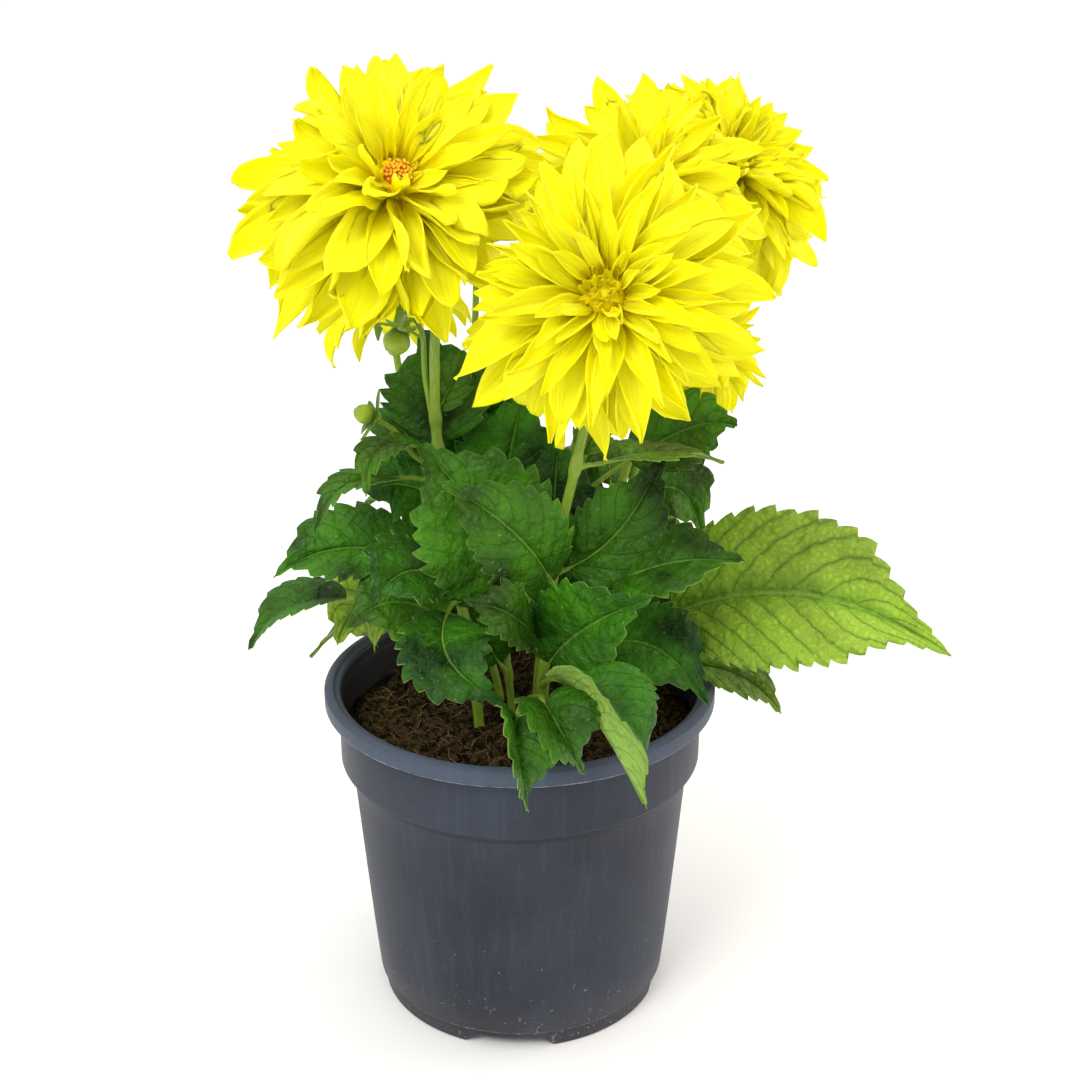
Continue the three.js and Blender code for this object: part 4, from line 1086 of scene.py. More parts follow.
def scatter_tree():
    """Crumbs and fibres over the top faces of a mesh: Geometry Nodes with named inputs and a fixed seed."""
    tree, given = new_tree("Crumbs and fibres", {"Crumbs": "Collection", "Fibres": "Collection",
                                                 "Crumb Size": "Float", "Fibre Length": "Float",
                                                 "Crumb Density": "Float", "Fibre Density": "Float", "Seed": "Int"})
    top = add(tree, "GeometryNodeInputNamedAttribute", {"Name": "top"}, data_type="BOOLEAN")
    bare = add(tree, "GeometryNodeStoreNamedAttribute", {"Geometry": given["Geometry"], "Name": "shade", "Value": 0.0},
               data_type="FLOAT", domain="POINT")
    layers = [bare]
    kinds = (("Crumbs", "Crumb Size", "Crumb Density", 0.2, 0.0, 0.25),
             ("Fibres", "Fibre Length", "Fibre Density", 0.3, 0.05, 1.0))
    for forms, size, density, least, shade_low, shade_high in kinds:
        spots = add(tree, "GeometryNodeDistributePointsOnFaces",
                    {"Mesh": given["Geometry"], "Selection": top, "Density": given[density], "Seed": given["Seed"]})
        picks = add(tree, "GeometryNodeCollectionInfo", {"Collection": given[forms],
                                                         "Separate Children": True, "Reset Children": True})
        turn = add(tree, "FunctionNodeRandomValue", {0: (-0.5, -0.5, 0.0), 1: (0.5, 0.5, 6.283),
                                                     "Seed": given["Seed"]}, data_type="FLOAT_VECTOR")
        share = add(tree, "FunctionNodeRandomValue", {2: least, 3: 1.0, "Seed": given["Seed"]}, data_type="FLOAT")
        scale = add(tree, "ShaderNodeMath", {0: share, 1: given[size]}, operation="MULTIPLY")
        placed = add(tree, "GeometryNodeInstanceOnPoints",
                     {"Points": spots, "Instance": picks, "Pick Instance": True, "Rotation": turn, "Scale": scale})
        lightness = add(tree, "FunctionNodeRandomValue", {2: shade_low, 3: shade_high,
                                                          "Seed": given["Seed"]}, data_type="FLOAT")
        toned = add(tree, "GeometryNodeStoreNamedAttribute", {"Geometry": placed, "Name": "shade", "Value": lightness},
                    data_type="FLOAT", domain="INSTANCE")
        layers.append(toned)
    together = add(tree, "GeometryNodeJoinGeometry", {0: layers})
    return end_tree(tree, given, together)


class DahliaSoil(bpy.types.Operator):
    """Fills the pot with crumbly compost and scatters crumbs and fibres on it"""
    bl_idname = "dahlia.soil"
    bl_label = "Soil"

    def execute(self, context):
        settings = context.scene.dahlia_soil
        base = new_object("soil_base", soil_mesh())
        crumbs, fibres = crumb_forms(), fibre_forms()
        scatter = modifier_with(base, scatter_tree(), {
            "Crumbs": crumbs, "Fibres": fibres, "Crumb Size": settings.crumb, "Fibre Length": FIBRE_LENGTH * MM,
            "Crumb Density": CRUMB_DENSITY, "Fibre Density": FIBRE_DENSITY, "Seed": settings.seed,
            "Material": soil_material(settings)})
        soil = new_object("soil_compost", frozen(base, "soil_compost", scatter))
        for forms in (crumbs, fibres):
            drop_forms(forms)
        finish_piece(soil, "soil")
        return {"FINISHED"}


# Stems and stalks

STEM_SIDES = 12
# Radius of a leaf's stalk and of the rib that it goes on as, and how much of each is lost along it
STALK = (1.35, 0.35)
RIB = (1.0, 0.75)
# How much thicker a stem is where a leaf grows from it, and over what length
SWELL = 0.7
SWELL_LENGTH = 3.5
# Profiles, as radius and height: the cup under a bloom, and the core that its petals stand on
CUP = ((0, -1.5), (2.0, -1), (2.7, 0.5), (4.6, 2.4), (7.4, 5.2), (8.4, 6.6), (8.8, CALYX_LENGTH), (0, CALYX_LENGTH))
CORE = ((0, -5), (7.4, -5), (8, -4.2), (11, 0), (9, 6), (6.2, 8), (0, 8))


def tube_curve(name, runs):
    """A curve object of straight-stretch splines, from runs of (points, radii)."""
    curve = bpy.data.curves.new(name, "CURVE")
    curve.dimensions = "3D"
    for points, radii in runs:
        spline = curve.splines.new("POLY")
        spline.points.add(len(points) - 1)
        for knot, place, radius in zip(spline.points, points, radii):
            knot.co = (*place, 1)
            knot.radius = radius
    return new_object(name, curve)


def tube_tree():
    """A round body along each curve, as thick as the curve's radius says."""
    tree, given = new_tree("Round body along a path", {"Sides": "Int"})
    ring = add(tree, "GeometryNodeCurvePrimitiveCircle", {"Resolution": given["Sides"], "Radius": 1.0})
    thickness = add(tree, "GeometryNodeInputRadius")
    body = add(tree, "GeometryNodeCurveToMesh",
               {"Curve": given["Geometry"], "Profile Curve": ring, "Scale": thickness, "Fill Caps": True})
    smooth = add(tree, "GeometryNodeSetShadeSmooth", {"Geometry": body})
    return end_tree(tree, given, smooth)


def stem_run(name):
    """The stem itself, thicker where leaves grow from it."""
    points = stem_points(name)
    low, high = STEMS[name][1]
    nodes = [row[0] * MM for row in LEAVES[name]]
    steps = 30 * (len(points) - 1)
    places = [along(points, i / steps) for i in range(steps + 1)]
    radii = []
    for i, place in enumerate(places):
        swell = sum(math.exp(-((place.z - z) / (SWELL_LENGTH * MM)) ** 2) for z in nodes)
        radii.append((low + (high - low) * i / steps + SWELL * min(swell, 1)) * MM)
    return places, radii


def stalk_run(name, row):
    """A leaf's stalk, which goes on as the rib on the back of its blade."""
    stalk, _, tilt = row[7:10]
    root, bend, tip = leaf_rib(name, row)
    places, radii = [], []
    steps = 26
    for i in range(steps + 1):
        s = 0.985 * i / steps
        tangent = bent_direction(root, bend, tip, s)
        normal = blade_side(tangent, tilt).cross(tangent)
        if s < stalk:
            thick = (STALK[0] - STALK[1] * s / stalk) * MM
        else:
            thick = (RIB[0] - RIB[1] * (s - stalk) / (1 - stalk)) * MM
        sink = smooth_step(stalk - 0.06, stalk + 0.05, s) * (0.35 * thick + 1.1 * MM)
        places.append(bent(root, bend, tip, s) - normal * sink)
        radii.append(thick * (1 + 0.6 * smooth_step(0.08, 0, s)))
    return places, radii


def bud_run(name):
    """The stalk of a bud."""
    _, stalk, seat, facing, _, _ = BUDS[name]
    axis = Vector(facing).normalized()
    points = [point(p) for p in stalk] + [point(seat) - axis * MM]
    steps = 10 * (len(points) - 1)
    places = [along(points, i / steps) for i in range(steps + 1)]
    return places, [(1.3 - 0.2 * i / steps) * MM for i in range(steps + 1)]


def stood(mesh, base, axis):
    """A mesh made about +Z, turned and moved so that +Z points along an axis from a base."""
    turn = UP.rotation_difference(axis).to_matrix().to_4x4()
    mesh.transform(Matrix.Translation(base) @ turn)
    return mesh


def cups(name):
    """The cup under a stem's bloom, and under each of its buds."""
    made = []
    if name in BLOOMS:
        made.append(stood(turned("cup", CUP, 20), *bloom_seat(name)))
    for seat, axis, radius in buds_on(name):
        profile = [(0, -2.4), (1.2, -2.2), (radius * 0.4, -1), (radius * 0.52, -0.3), (radius * 0.5, 0), (0, 0)]
        made.append(stood(turned("cup", profile, 16), seat, axis))
    return made


class DahliaStems(bpy.types.Operator):
    """Grows the stems, the stalks of leaves and buds and the cups under the blooms"""
    bl_idname = "dahlia.stems"
    bl_label = "Stems"

    def execute(self, context):
        material = stem_material(context.scene.dahlia_leaf)
        tree = tube_tree()
        for name in STEMS:
            runs = [stem_run(name)] + [stalk_run(name, row) for row in LEAVES[name]]
            runs += [bud_run(key) for key in BUDS if BUDS[key][0] == name]
            path = tube_curve(f"path_{name}", runs)
            body = modifier_with(path, tree, {"Sides": STEM_SIDES, "Material": material})
            parts = [new_object(f"stalks_{name}", frozen(path, f"stalks_{name}", body))]
            for cup in cups(name):
                shade_smooth(cup)
                parts.append(new_object("cup", cup, [material]))
            finish_piece(joined(f"stalks_{name}", parts), f"stem_{name}")
        return {"FINISHED"}


# Leaves

def add_calyx_bracts(sheets, base, facing):
    """Bracts that lie back under a bloom."""
    for k in range(6):
        radial = around(facing, 2 * math.pi * (k + 0.3) / 6)
        root = base + facing * (CALYX_LENGTH - 3) * MM + radial * 5 * MM
        bend = root + radial * 8 * MM
        tip = bend - facing * 9 * MM + radial * 3 * MM
        add_bract(sheets, root, bend, tip, facing, 6 * MM, 0.35)


def add_bud_bracts(sheets, seat, axis, radius):
    """Bracts under a bud, leafier round a small one."""
    leafy = 1.5 if radius < 5 else 1.0
    for k in range(5):
        radial = around(axis, 2 * math.pi * k / 5)
        root = seat - axis * 1.2 * MM + radial * 0.8 * MM
        bend = root + (radial * radius * 1.25 * leafy + axis * (0.5 + 5 * (leafy - 1))) * MM
        tip = bend + (radial * radius * 0.7 - axis * radius * 0.3 * (k % 3 - 1)) * leafy * MM
        add_bract(sheets, root, bend, tip, axis, radius * 0.75 * leafy * MM, 0.7 * (leafy - 1))


class DahliaLeaves(bpy.types.Operator):
    """Grows the toothed leaves of each stem and the bracts under blooms and buds"""
    bl_idname = "dahlia.leaves"
    bl_label = "Leaves"

    def execute(self, context):
        settings = context.scene.dahlia_leaf
        material = leaf_material(settings)
        seed = 100
        for name, rows in LEAVES.items():
            sheets = Sheets()
            for place, row in enumerate(rows):
                seed += 1
                fold, turn = FOLDED.get((name, place), (FOLD, 0))
                add_leaf(sheets, name, row, settings.teeth, seed, fold, turn)
            if name in BLOOMS:
                add_calyx_bracts(sheets, *bloom_seat(name))
            for seat, axis, radius in buds_on(name):
                add_bud_bracts(sheets, seat, axis, radius)
            leaves = new_object(f"leaves_{name}", sheets.mesh(f"leaves_{name}"), [material])
            finish_piece(leaves, f"stem_{name}")
        return {"FINISHED"}


# Blooms

# Lean of a petal's root and of its tip in degrees: in the outermost layer, and how much more in the innermost
ROOT_LEAN = (-22, 98)
TIP_LEAN = (-68, 128)
PETAL_ROWS = (0, 0.1, 0.22, 0.36, 0.5, 0.62, 0.74, 0.84, 0.92, 0.97, 1)
PETAL_ACROSS = (-1, -0.68, -0.34, 0, 0.34, 0.68, 1)
VARIANTS = 6
# A petal's thickness as a share of its length
PETAL_THICKNESS = 0.5 / 62
# How far the roots of petals are from the core's axis
PETAL_RING = 7.2
# How far petals keep from the plane that parts two blooms, from stems, and from the line of sight to the nodding bud
CLEARANCE = 0.9
STEM_CLEARANCE = 4.6
VIEW_CLEARANCE = 11
# The most that a petal is turned about its own length, in radians, and how often one that isn't clear is tried again
PETAL_ROLL = 0.16
TRIES = 22


def petal_outline(u, bluntness):
    """Half width of a petal along its length, 1 at the widest: narrow at the root and drawn to a point."""
    rise = 0.34 + 0.66 * smooth_step(0, 0.46, u)
    return rise * math.cos(math.pi / 2 * max(0.0, (u - 0.3) / 0.7) ** bluntness)


# How far a petal's edges roll up, in radians, and how far more near its tip: open, boat shaped or nearly a tube
PETAL_ROLLS = ((0.45, 0.1), (0.55, 0.35), (0.65, 0.15), (0.8, 0.6), (1.1, 0.7), (1.35, 1.0), (-0.45, -0.1))


def petal_form(share, width, bluntness, unrest, seed):
    """One petal of unit length for a share from the outermost layer, 0, to the innermost, 1."""
    draw = random.Random(seed)
    root_lean = ROOT_LEAN[0] + ROOT_LEAN[1] * share
    tip_lean = TIP_LEAN[0] + TIP_LEAN[1] * share
    curl = (draw.uniform(-30, 34) * (1 - share) + draw.uniform(0, 70) * share) * unrest
    twist = draw.gauss(0, 0.25) * unrest
    if draw.random() < 0.25 * unrest:
        curl += draw.choice((-38, 42))
        twist += draw.choice((-0.8, 0.8))
    cup, tip_roll = draw.choice(PETAL_ROLLS)
    if cup > 0:
        cup += 0.5 * share
    if share >= 1:
        curl = draw.uniform(-70, 120)
        cup, tip_roll = 1.2, 0.6
    sway = draw.uniform(-0.35, 0.35)
    blunt = draw.uniform(*bluntness)
    wave = draw.uniform(0.01, 0.04) * unrest
    phase = draw.uniform(0, 6.28)
    sheets = Sheets()
    steps = 40
    spine, leans = [Vector((0, 0, 0))], []
    for i in range(steps + 1):
        u = i / steps
        lean = root_lean + (tip_lean - root_lean) * smooth_step(0.05, 0.95, u) + curl * smooth_step(0.62, 1, u) ** 1.5
        leans.append(math.radians(lean))
        forward = Vector((math.cos(leans[-1]), sway * u, math.sin(leans[-1]))).normalized()
        spine.append(spine[-1] + forward / steps)
    rows, downs = [], []
    for u in PETAL_ROWS:
        place = u * steps
        i = min(int(place), steps - 1)
        middle = spine[i].lerp(spine[i + 1], place - i)
        lean = leans[i]
        normal = Vector((-math.sin(lean), 0, math.cos(lean)))
        level = Vector((-sway * u * math.cos(lean), 1, -sway * u * math.sin(lean))).normalized()
        turn = twist * u
        side = level * math.cos(turn) + normal * math.sin(turn)
        normal = normal * math.cos(turn) - level * math.sin(turn)
        half = max(width / 2 * petal_outline(u, blunt), 0.004)
        arc = cup * (1 + 0.9 * smooth_step(0.35, 0, u)) + tip_roll * smooth_step(0.55, 1, u)
        line = []
        for v in PETAL_ACROSS:
            rise = half / arc * (1 - math.cos(arc * v)) - 0.05 * half * math.cos(v * math.pi * 3)
            rise += wave * v * v * math.sin(9 * u + phase + (2 if v > 0 else 0)) * smooth_step(0.1, 0.5, u)
            rise += 0.4 * wave * math.sin(5 * u + 2.6 * v + phase)
            line.append(middle + side * (half / arc * math.sin(arc * v)) + normal * rise)
        rows.append(line)
        downs.append([(side * math.sin(arc * v) - normal * math.cos(arc * v)) * PETAL_THICKNESS
                      for v in PETAL_ACROSS])
    sheets.sheet(rows, downs, PETAL_ROWS, PETAL_ACROSS)
    return sheets.mesh("petal_form")


def petal_tree():
    """Sets petals of given forms on points that say how each is turned and how long it is."""
    tree, given = new_tree("Petals on a core", {"Petal Forms": "Collection", "Roll": "Float", "Seed": "Int"})
    forms = add(tree, "GeometryNodeCollectionInfo", {"Collection": given["Petal Forms"],
                                                     "Separate Children": True, "Reset Children": True})
    form = add(tree, "GeometryNodeInputNamedAttribute", {"Name": "form"}, data_type="INT")
    turn = add(tree, "GeometryNodeInputNamedAttribute", {"Name": "turn"}, data_type="FLOAT_VECTOR")
    size = add(tree, "GeometryNodeInputNamedAttribute", {"Name": "size"}, data_type="FLOAT_VECTOR")
    back = add(tree, "ShaderNodeMath", {0: given["Roll"], 1: -1.0}, operation="MULTIPLY")
    low = add(tree, "ShaderNodeCombineXYZ", {0: back})
    high = add(tree, "ShaderNodeCombineXYZ", {0: given["Roll"]})
    roll = add(tree, "FunctionNodeRandomValue", {0: low, 1: high, "Seed": given["Seed"]}, data_type="FLOAT_VECTOR")
    set_turn = add(tree, "FunctionNodeEulerToRotation", {0: turn})
    own_roll = add(tree, "FunctionNodeEulerToRotation", {0: roll})
    both = add(tree, "FunctionNodeRotateRotation", {0: set_turn, 1: own_roll}, rotation_space="LOCAL")
    placed = add(tree, "GeometryNodeInstanceOnPoints",
                 {"Points": given["Geometry"], "Instance": forms, "Pick Instance": True,
                  "Instance Index": form, "Rotation": both, "Scale": size})
    return end_tree(tree, given, placed)


def bloom_centre(name):
    """The facing of a bloom and the middle of its core."""
    base, facing = bloom_seat(name)
    return facing, base + facing * (CALYX_LENGTH + CORE_RISE) * MM


def neighbour_planes(name):
    """Planes between a bloom and each of its neighbours, as a point and the direction towards the neighbour."""
    _, centre = bloom_centre(name)
    reach = BLOOMS[name][1] * MM
    planes = []
    for other in BLOOMS:
        if other == name:
            continue
        towards = bloom_centre(other)[1] - centre
        distance = towards.length
        share = (distance ** 2 + reach ** 2 - (BLOOMS[other][1] * MM) ** 2) / (2 * distance)
        towards.normalize()
        planes.append((centre + towards * (share - CLEARANCE * MM), towards))
    return planes


def is_clear(points, planes, stems):
    """Whether points keep behind a bloom's planes and away from the stems."""
    if any((place - origin).dot(towards) > 0 for place in points for origin, towards in planes):
        return False
    near = STEM_CLEARANCE * MM
    return all((place - stem).length > near for place in points[1:] for stem in stems)


def in_box(points):
    """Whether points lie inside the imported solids' box, a little in from its sides."""
    return all(CAD_LOW[axis] + MM < place[axis] < CAD_HIGH[axis] - MM for place in points for axis in range(3))


def place_petals(name, forms, draw):
    """Where each petal of a bloom stands: position, turn, size, form, inner share and shade.

    Petals follow one another by the golden angle from the outermost layer in. One that would meet a stem, a
    neighbouring bloom or the view of the nodding bud is lifted and shortened until it is clear."""
    facing, centre = bloom_centre(name)
    reach, counts, _, disc, _, longer, _, stretch = BLOOMS[name][1:]
    longer, stretch = Vector(longer), Vector(stretch)
    planes = neighbour_planes(name)
    stems = [along(stem_points(key), i / 60) for key in STEMS for i in range(61)]
    bud = point(BUDS["nodding"][2])
    view = [bud + Vector((0.5 * k, -7 * k, 1.8 * k - 5)) * MM for k in range(10)]
    total = len(counts)
    jobs = []
    for layer, count in enumerate(counts):
        for k in range(count):
            share = (layer + k / count) / total
            length = (reach - 7) * (1 - 0.62 * share ** 1.5)
            jobs.append((len(jobs) * GOLDEN_ANGLE, share, length, PETAL_RING, layer))
    # Narrow curled petals close the eye, or stand round the florets
    for k in range(8 if disc else 22):
        ring = 6.2 if disc else 0.8 + 0.27 * k
        jobs.append((k * GOLDEN_ANGLE, 0.99, draw.uniform(9, 15), ring, total))
    places = []
    for turn, share, length, ring, layer in jobs:
        radial = around(facing, turn)
        pitch = math.radians(draw.gauss(0, 4.5))
        yaw = draw.gauss(0, 0.08)
        size = length * draw.uniform(0.86, 1.08) * (
            1 + radial.dot(longer) + stretch.length * (2 * radial.dot(stretch.normalized()) ** 2 - 1))
        broad = draw.uniform(0.85, 1.15)
        form = layer * VARIANTS + draw.randrange(VARIANTS)
        shade = draw.uniform(0, 1)
        root = centre + (radial * ring + facing * (-2.5 + 7 * share)) * MM
        frame_matrix = Matrix((radial, facing.cross(radial), facing)).transposed()
        for _ in range(TRIES):
            matrix = frame_matrix @ Matrix.Rotation(yaw, 3, "Z") @ Matrix.Rotation(-pitch, 3, "Y")
            sample = [root + matrix @ (place * size * MM) for place in forms[form]]
            hides = any((place - spot).length < VIEW_CLEARANCE * MM for place in sample for spot in view)
            if not in_box(sample):
                size *= 0.97
            elif not hides and is_clear(sample, planes, stems):
                places.append((root, matrix.to_euler(), (size * MM, size * MM * broad, size * MM), form, share, shade))
                break
            else:
                pitch += math.radians(3)
                size *= 0.95
    return places


class DahliaBlooms(bpy.types.Operator):
    """Sets the petals of each bloom in layers round its core"""
    bl_idname = "dahlia.blooms"
    bl_label = "Blooms"

    def execute(self, context):
        settings = context.scene.dahlia_bloom
        material = petal_material(settings)
        tree = petal_tree()
        for number, name in enumerate(BLOOMS):
            facing, centre = bloom_centre(name)
            _, _, counts, width_share, _, bluntness, _, unrest, _ = BLOOMS[name]
            meshes, samples = [], []
            wide = len(PETAL_ACROSS)
            for layer in range(len(counts) + 1):
                share = min((layer + 0.4) / len(counts), 1)
                broad = width_share * (1 - 0.15 * share)
                for variant in range(VARIANTS):
                    mesh = petal_form(share, broad, bluntness, unrest, 1000 * number + 10 * layer + variant)
                    mesh.name = f"petal_{layer:02d}_{variant}"
                    meshes.append(mesh)
                    samples.append([mesh.vertices[i * wide + j].co.copy()
                                    for i in (2, 4, 5, 6, 7, 8, 10) for j in (0, 3, wide - 1)])
            shapes = form_collection("petal forms", meshes)
            places = place_petals(name, samples, random.Random(settings.seed + number))
            points = new_mesh(f"petal_points_{name}", [place[0] for place in places])
            columns = (("turn", "FLOAT_VECTOR", "vector", 1), ("size", "FLOAT_VECTOR", "vector", 2),
                       ("form", "INT", "value", 3), ("inner", "FLOAT", "value", 4), ("shade", "FLOAT", "value", 5))
            for key, kind, field, column in columns:
                layer = points.attributes.new(key, kind, "POINT")
                for item, place in zip(layer.data, places):
                    setattr(item, field, place[column])
            source = new_object(f"petal_points_{name}", points)
            grow = modifier_with(source, tree, {
                "Petal Forms": shapes, "Roll": PETAL_ROLL, "Seed": settings.seed + number, "Material": material})
            parts = [new_object(f"petals_{name}", frozen(source, f"petals_{name}", grow))]
            drop_forms(shapes)
            body = stood(turned("core", CORE, 20), centre, facing)
            shade_smooth(body)
            # The core takes part of the petals' gold: partly their colour, partly painted shade deep in the bloom
            body.attributes.new("inner", "FLOAT", "POINT").data.foreach_set("value", [0.3] * len(body.vertices))
            parts.append(new_object("core", body, [material]))
            finish_piece(joined(f"petals_{name}", parts), f"bloom_{name}")
        return {"FINISHED"}


# Florets

FLORETS = 48
FLORET_LENGTH = 3.4
# The dome that florets stand on: how far above the middle of the core, and the radius and height of their spiral
DISC_RISE = 8.3
DISC_RADIUS = 4.9
DISC_HEIGHT = 2.6
DOME = ((0, 0), (5.2, 0), (4.6, 1.6), (2.6, 2.9), (0, 3.3))


def floret_form():
    """A floret of unit length: a narrow tube that opens in a few points."""
    rings = ((0.0, 0.12), (0.55, 0.13), (0.8, 0.2), (1.0, 0.24))
    sides = 5
    points = [(r * math.cos(2 * math.pi * k / sides), r * math.sin(2 * math.pi * k / sides), z)
              for z, r in rings for k in range(sides)]
    faces = []
    for i in range(len(rings) - 1):
        for k in range(sides):
            n = (k + 1) % sides
            faces.append((i * sides + k, i * sides + n, (i + 1) * sides + n, (i + 1) * sides + k))
    points.append((0, 0, 0.82))
    top = (len(rings) - 1) * sides
    faces += [(top + k, top + (k + 1) % sides, len(points) - 1) for k in range(sides)]
    faces.append(tuple(range(sides))[::-1])
    made = new_mesh("floret_form", points, faces)
    chart = made.uv_layers.new(name="blade")
    for loop in made.loops:
        chart.data[loop.index].uv = (points[loop.vertex_index][2], 0.5)
    return made


def floret_tree():
    """Florets in a golden-angle spiral over a low dome."""
    tree, given = new_tree("Florets in a spiral", {"Floret": "Object", "Count": "Int", "Radius": "Float",
                                                   "Height": "Float", "Floret Length": "Float", "Seed": "Int"})
    index = add(tree, "GeometryNodeInputIndex")
    share = add(tree, "ShaderNodeMath", {0: index, 1: given["Count"]}, operation="DIVIDE")
    root = add(tree, "ShaderNodeMath", {0: share}, operation="SQRT")
    reach = add(tree, "ShaderNodeMath", {0: root, 1: given["Radius"]}, operation="MULTIPLY")
    angle = add(tree, "ShaderNodeMath", {0: index, 1: GOLDEN_ANGLE}, operation="MULTIPLY")
    sine = add(tree, "ShaderNodeMath", {0: angle}, operation="SINE")
    cosine = add(tree, "ShaderNodeMath", {0: angle}, operation="COSINE")
    x = add(tree, "ShaderNodeMath", {0: reach, 1: cosine}, operation="MULTIPLY")
    y = add(tree, "ShaderNodeMath", {0: reach, 1: sine}, operation="MULTIPLY")
    left = add(tree, "ShaderNodeMath", {0: 1.0, 1: share}, operation="SUBTRACT")
    z = add(tree, "ShaderNodeMath", {0: left, 1: given["Height"]}, operation="MULTIPLY")
    place = add(tree, "ShaderNodeCombineXYZ", {0: x, 1: y, 2: z})
    spots = add(tree, "GeometryNodePoints", {"Count": given["Count"], "Position": place})
    # Each floret leans out from a centre under the dome
    out = add(tree, "ShaderNodeVectorMath", {0: place, 1: (0.0, 0.0, 0.012)}, operation="ADD")
    turn = add(tree, "FunctionNodeAlignRotationToVector", {"Vector": out}, axis="Z")
    form = add(tree, "GeometryNodeObjectInfo", {"Object": given["Floret"]})
    long = add(tree, "FunctionNodeRandomValue", {2: 0.75, 3: 1.1, "Seed": given["Seed"]}, data_type="FLOAT")
    size = add(tree, "ShaderNodeMath", {0: long, 1: given["Floret Length"]}, operation="MULTIPLY")
    placed = add(tree, "GeometryNodeInstanceOnPoints",
                 {"Points": spots, "Instance": form.outputs["Geometry"], "Rotation": turn, "Scale": size})
    return end_tree(tree, given, placed)


class DahliaFlorets(bpy.types.Operator):
    """Fills the open middle of a bloom with florets"""
    bl_idname = "dahlia.florets"
    bl_label = "Florets"

    def execute(self, context):
        settings = context.scene.dahlia_bloom
        material = floret_material(settings)
        tree = floret_tree()
        form = new_object("floret_form", floret_form())
        for name in BLOOMS:
            if not BLOOMS[name][4]:
                continue
            facing, centre = bloom_centre(name)
            base = centre + facing * DISC_RISE * MM
            source = new_object(f"floret_points_{name}", bpy.data.meshes.new("floret_points"))
            grow = modifier_with(source, tree, {
                "Floret": form, "Count": FLORETS, "Radius": DISC_RADIUS * MM, "Height": DISC_HEIGHT * MM,
                "Floret Length": FLORET_LENGTH * MM, "Seed": settings.seed, "Material": material})
            mesh = stood(frozen(source, f"florets_{name}", grow), base, facing)
            dome = stood(turned("dome", DOME, 16), base, facing)
            piece = joined(f"florets_{name}", [new_object(f"florets_{name}", mesh),
                                               new_object("dome", dome, [material])])
            finish_piece(piece, f"disc_{name}")
        bpy.data.objects.remove(form)
        return {"FINISHED"}


# Buds

def bud_girth(s):
    """Radius of a closed bud from its seat, 0, towards its point, 1, as a share of its greatest."""
    return math.sin(math.pi * (0.12 + 0.85 * s)) ** 0.75


def add_sepals(sheets, radius, length, count, turn, lift, reach):
    """A ring of sepals that wrap a bud from its seat towards its point, made about +Z."""
    steps = 9
    across = (-1, -0.6, -0.2, 0.2, 0.6, 1)
    shares = [i / (steps - 1) for i in range(steps)]
    for k in range(count):
        middle_turn = turn + 2 * math.pi * k / count
        rows, downs = [], []
        for u in shares:
            s = u * reach
            r = radius * bud_girth(s) + lift
            z = length * (0.02 + 0.97 * s)
            spread = 1.35 * math.pi / count * (1 - 0.9 * smooth_step(0.45, 1, u) ** 1.3)
            line = []
            for v in across:
                angle = middle_turn + v * spread
                edge = r + 0.15 * radius * (1 - abs(v)) * 0.25
                line.append(Vector((edge * math.cos(angle), edge * math.sin(angle), z)) * MM)
            rows.append(line[::-1])
            outward = Vector((math.cos(middle_turn), math.sin(middle_turn), 0))
            downs.append(outward * (-0.35 * MM))
        sheets.sheet(rows, downs, shares, across)


class DahliaBuds(bpy.types.Operator):
    """Closes the sepals of each bud"""
    bl_idname = "dahlia.buds"
    bl_label = "Buds"

    def execute(self, context):
        material = bud_material(context.scene.dahlia_bloom)
        for name, (_, _, seat, facing, radius, length) in BUDS.items():
            axis = Vector(facing).normalized()
            base = point(seat) + axis * 0.3 * MM
            sheets = Sheets()
            add_sepals(sheets, radius * 0.97, length, 5, 0.0, 0.0, 0.98)
            add_sepals(sheets, radius * 0.97, length, 5, math.pi / 5, 0.35, 0.9)
            steps = 10
            globe = [(0, 0)]
            for i in range(steps):
                s = 0.02 + 0.95 * i / (steps - 1)
                globe.append((radius * 0.92 * bud_girth(s), length * s))
            globe.append((0, length))
            body = turned("globe", globe, 20)
            shade_smooth(body)
            parts = [new_object(f"sepals_{name}", stood(sheets.mesh("sepals"), base, axis), [material]),
                     new_object("globe", stood(body, base, axis), [material])]
            finish_piece(joined(f"sepals_{name}", parts), f"bud_{name}")
        return {"FINISHED"}


# Stage

# The camera as solved from the pot's ellipses: place in metres, how far it looks down and aside, in radians, and lens
CAMERA_PLACE = (0, -0.7621, 0.5386)
CAMERA_DOWN = 0.3765
CAMERA_TURN = -0.0129
CAMERA_LENS = 57.76
FLOOR = [(-6, -4, 0), (6, -4, 0), (6, 8, 0), (-6, 8, 0)]


def area_light(name, place, aim, power, size, colour):
    """A soft square light that looks at a point."""
    lamp = bpy.data.lights.new(name, "AREA")
    lamp.energy = power
    lamp.size = size
    lamp.color = colour
    made = new_object(name, lamp)
    made.location = place
    made.rotation_euler = (Vector(aim) - Vector(place)).to_track_quat("-Z", "Y").to_euler()


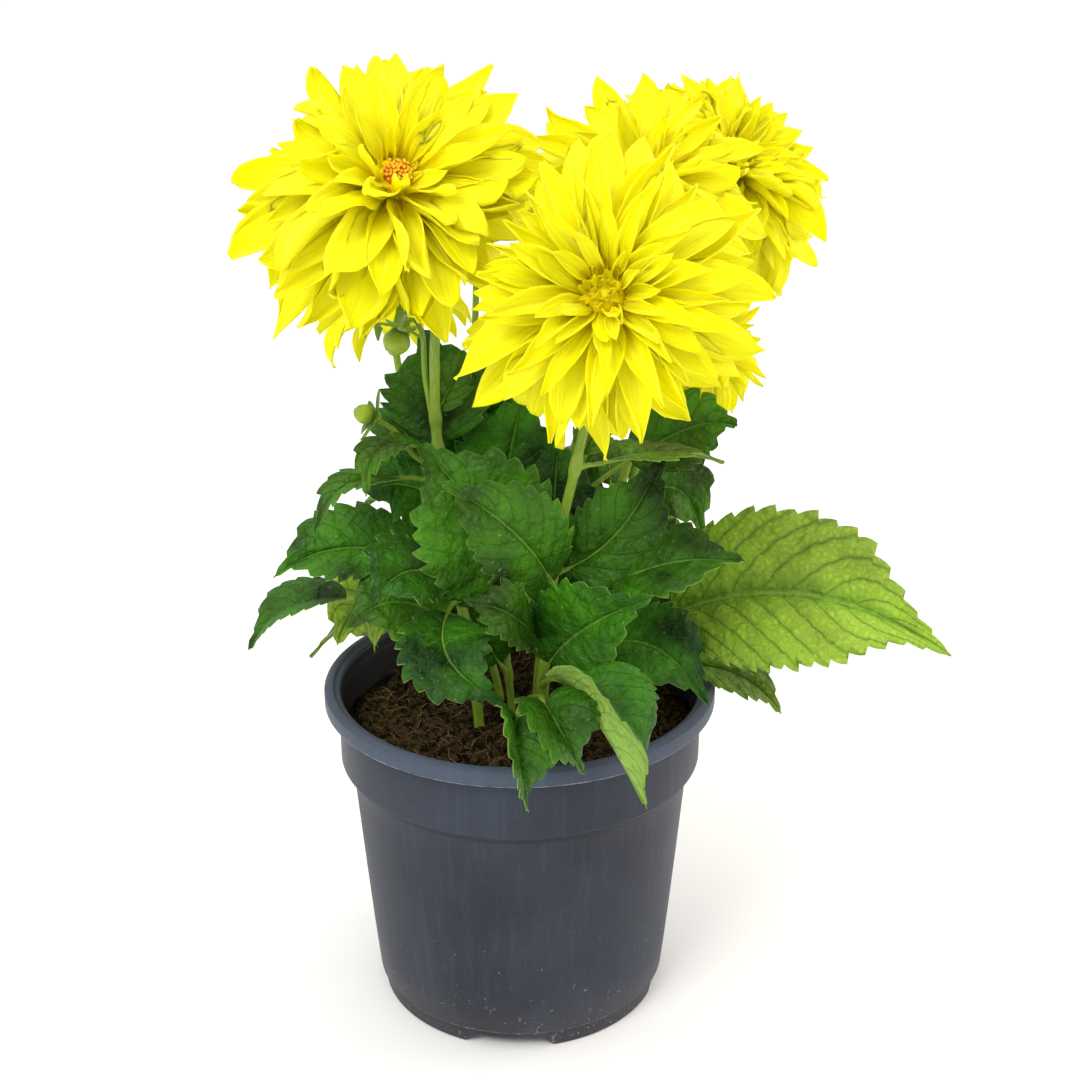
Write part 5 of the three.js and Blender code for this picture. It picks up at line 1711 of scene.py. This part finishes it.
class DahliaStage(bpy.types.Operator):
    """Lays the plain floor, soft lights and the camera"""
    bl_idname = "dahlia.stage"
    bl_label = "Stage"

    def execute(self, context):
        settings = context.scene.dahlia_stage
        material, tree, shader = new_material("Plain paper floor")
        here = add(tree, "ShaderNodeTexCoord").outputs["Object"]
        fine = add(tree, "ShaderNodeTexNoise", {"Vector": here, "Scale": 900.0, "Detail": 2.0})
        bump = add(tree, "ShaderNodeBump", {"Height": fine, "Distance": 0.0001, "Strength": 0.2})
        feed(shader, {"Base Color": settings.floor, "Normal": bump, "Roughness": 0.9})
        mesh = new_mesh("floor", FLOOR, [(0, 1, 2, 3)])
        new_object("floor", mesh, [material])

        world = bpy.data.worlds.new("Studio")
        world.use_nodes = True
        # A white dome that is brighter overhead than at the horizon
        sky = world.node_tree
        direction = add(sky, "ShaderNodeTexCoord").outputs["Generated"]
        height = add(sky, "ShaderNodeSeparateXYZ", {0: direction}).outputs["Z"]
        strength = add(sky, "ShaderNodeMapRange", {0: height, 1: 0.0, 2: 1.0, 3: 0.5, 4: 1.5})
        feed(sky.nodes["Background"], {"Color": (1, 1, 1, 1), "Strength": strength})
        context.scene.world = world
        area_light("key", (-0.8, -1.3, 1.6), (0, 0, 0.25), settings.key, 0.8, (1.0, 0.98, 0.95))
        area_light("fill", (1.5, 0.3, 0.7), (0, 0, 0.2), settings.fill, 0.9, (1.0, 0.82, 0.7))

        camera = bpy.data.cameras.new("camera")
        camera.sensor_width = 36
        camera.lens = CAMERA_LENS
        seen_from = new_object("camera", camera)
        seen_from.location = CAMERA_PLACE
        seen_from.rotation_euler = (math.pi / 2 - CAMERA_DOWN, 0, CAMERA_TURN)
        context.scene.camera = seen_from
        context.scene.view_settings.view_transform = "Standard"
        return {"FINISHED"}


# Panel and registration

STEPS = ("pot", "soil", "stems", "leaves", "blooms", "florets", "buds", "stage")


class DAHLIA_PT_maker(bpy.types.Panel):
    """Lists the steps of the dahlia and its settings"""
    bl_label = "Potted dahlia"
    bl_space_type = "VIEW_3D"
    bl_region_type = "UI"
    bl_category = "Dahlia"

    def draw(self, context):
        for step in STEPS:
            self.layout.operator(f"dahlia.{step}")
        for key in SETTINGS:
            box = self.layout.box()
            group = getattr(context.scene, key)
            for name in group.bl_rna.properties.keys():
                if name not in {"rna_type", "name"}:
                    box.prop(group, name)


SETTINGS = {
    "dahlia_pot": DahliaPotSettings,
    "dahlia_soil": DahliaSoilSettings,
    "dahlia_leaf": DahliaLeafSettings,
    "dahlia_bloom": DahliaBloomSettings,
    "dahlia_stage": DahliaStageSettings,
}
CLASSES = (*SETTINGS.values(), DahliaPot, DahliaSoil, DahliaStems, DahliaLeaves, DahliaBlooms, DahliaFlorets,
           DahliaBuds, DahliaStage, DAHLIA_PT_maker)


def register():
    """Registers the classes, and the settings on the scene."""
    for item in CLASSES:
        bpy.utils.register_class(item)
    for key, group in SETTINGS.items():
        setattr(bpy.types.Scene, key, bpy.props.PointerProperty(type=group))


def unregister():
    """Undoes register."""
    for key in SETTINGS:
        delattr(bpy.types.Scene, key)
    for item in reversed(CLASSES):
        bpy.utils.unregister_class(item)


def main():
    """Builds the whole plant."""
    register()
    for step in STEPS:
        getattr(bpy.ops.dahlia, step)()


if __name__ == "__main__":
    main()
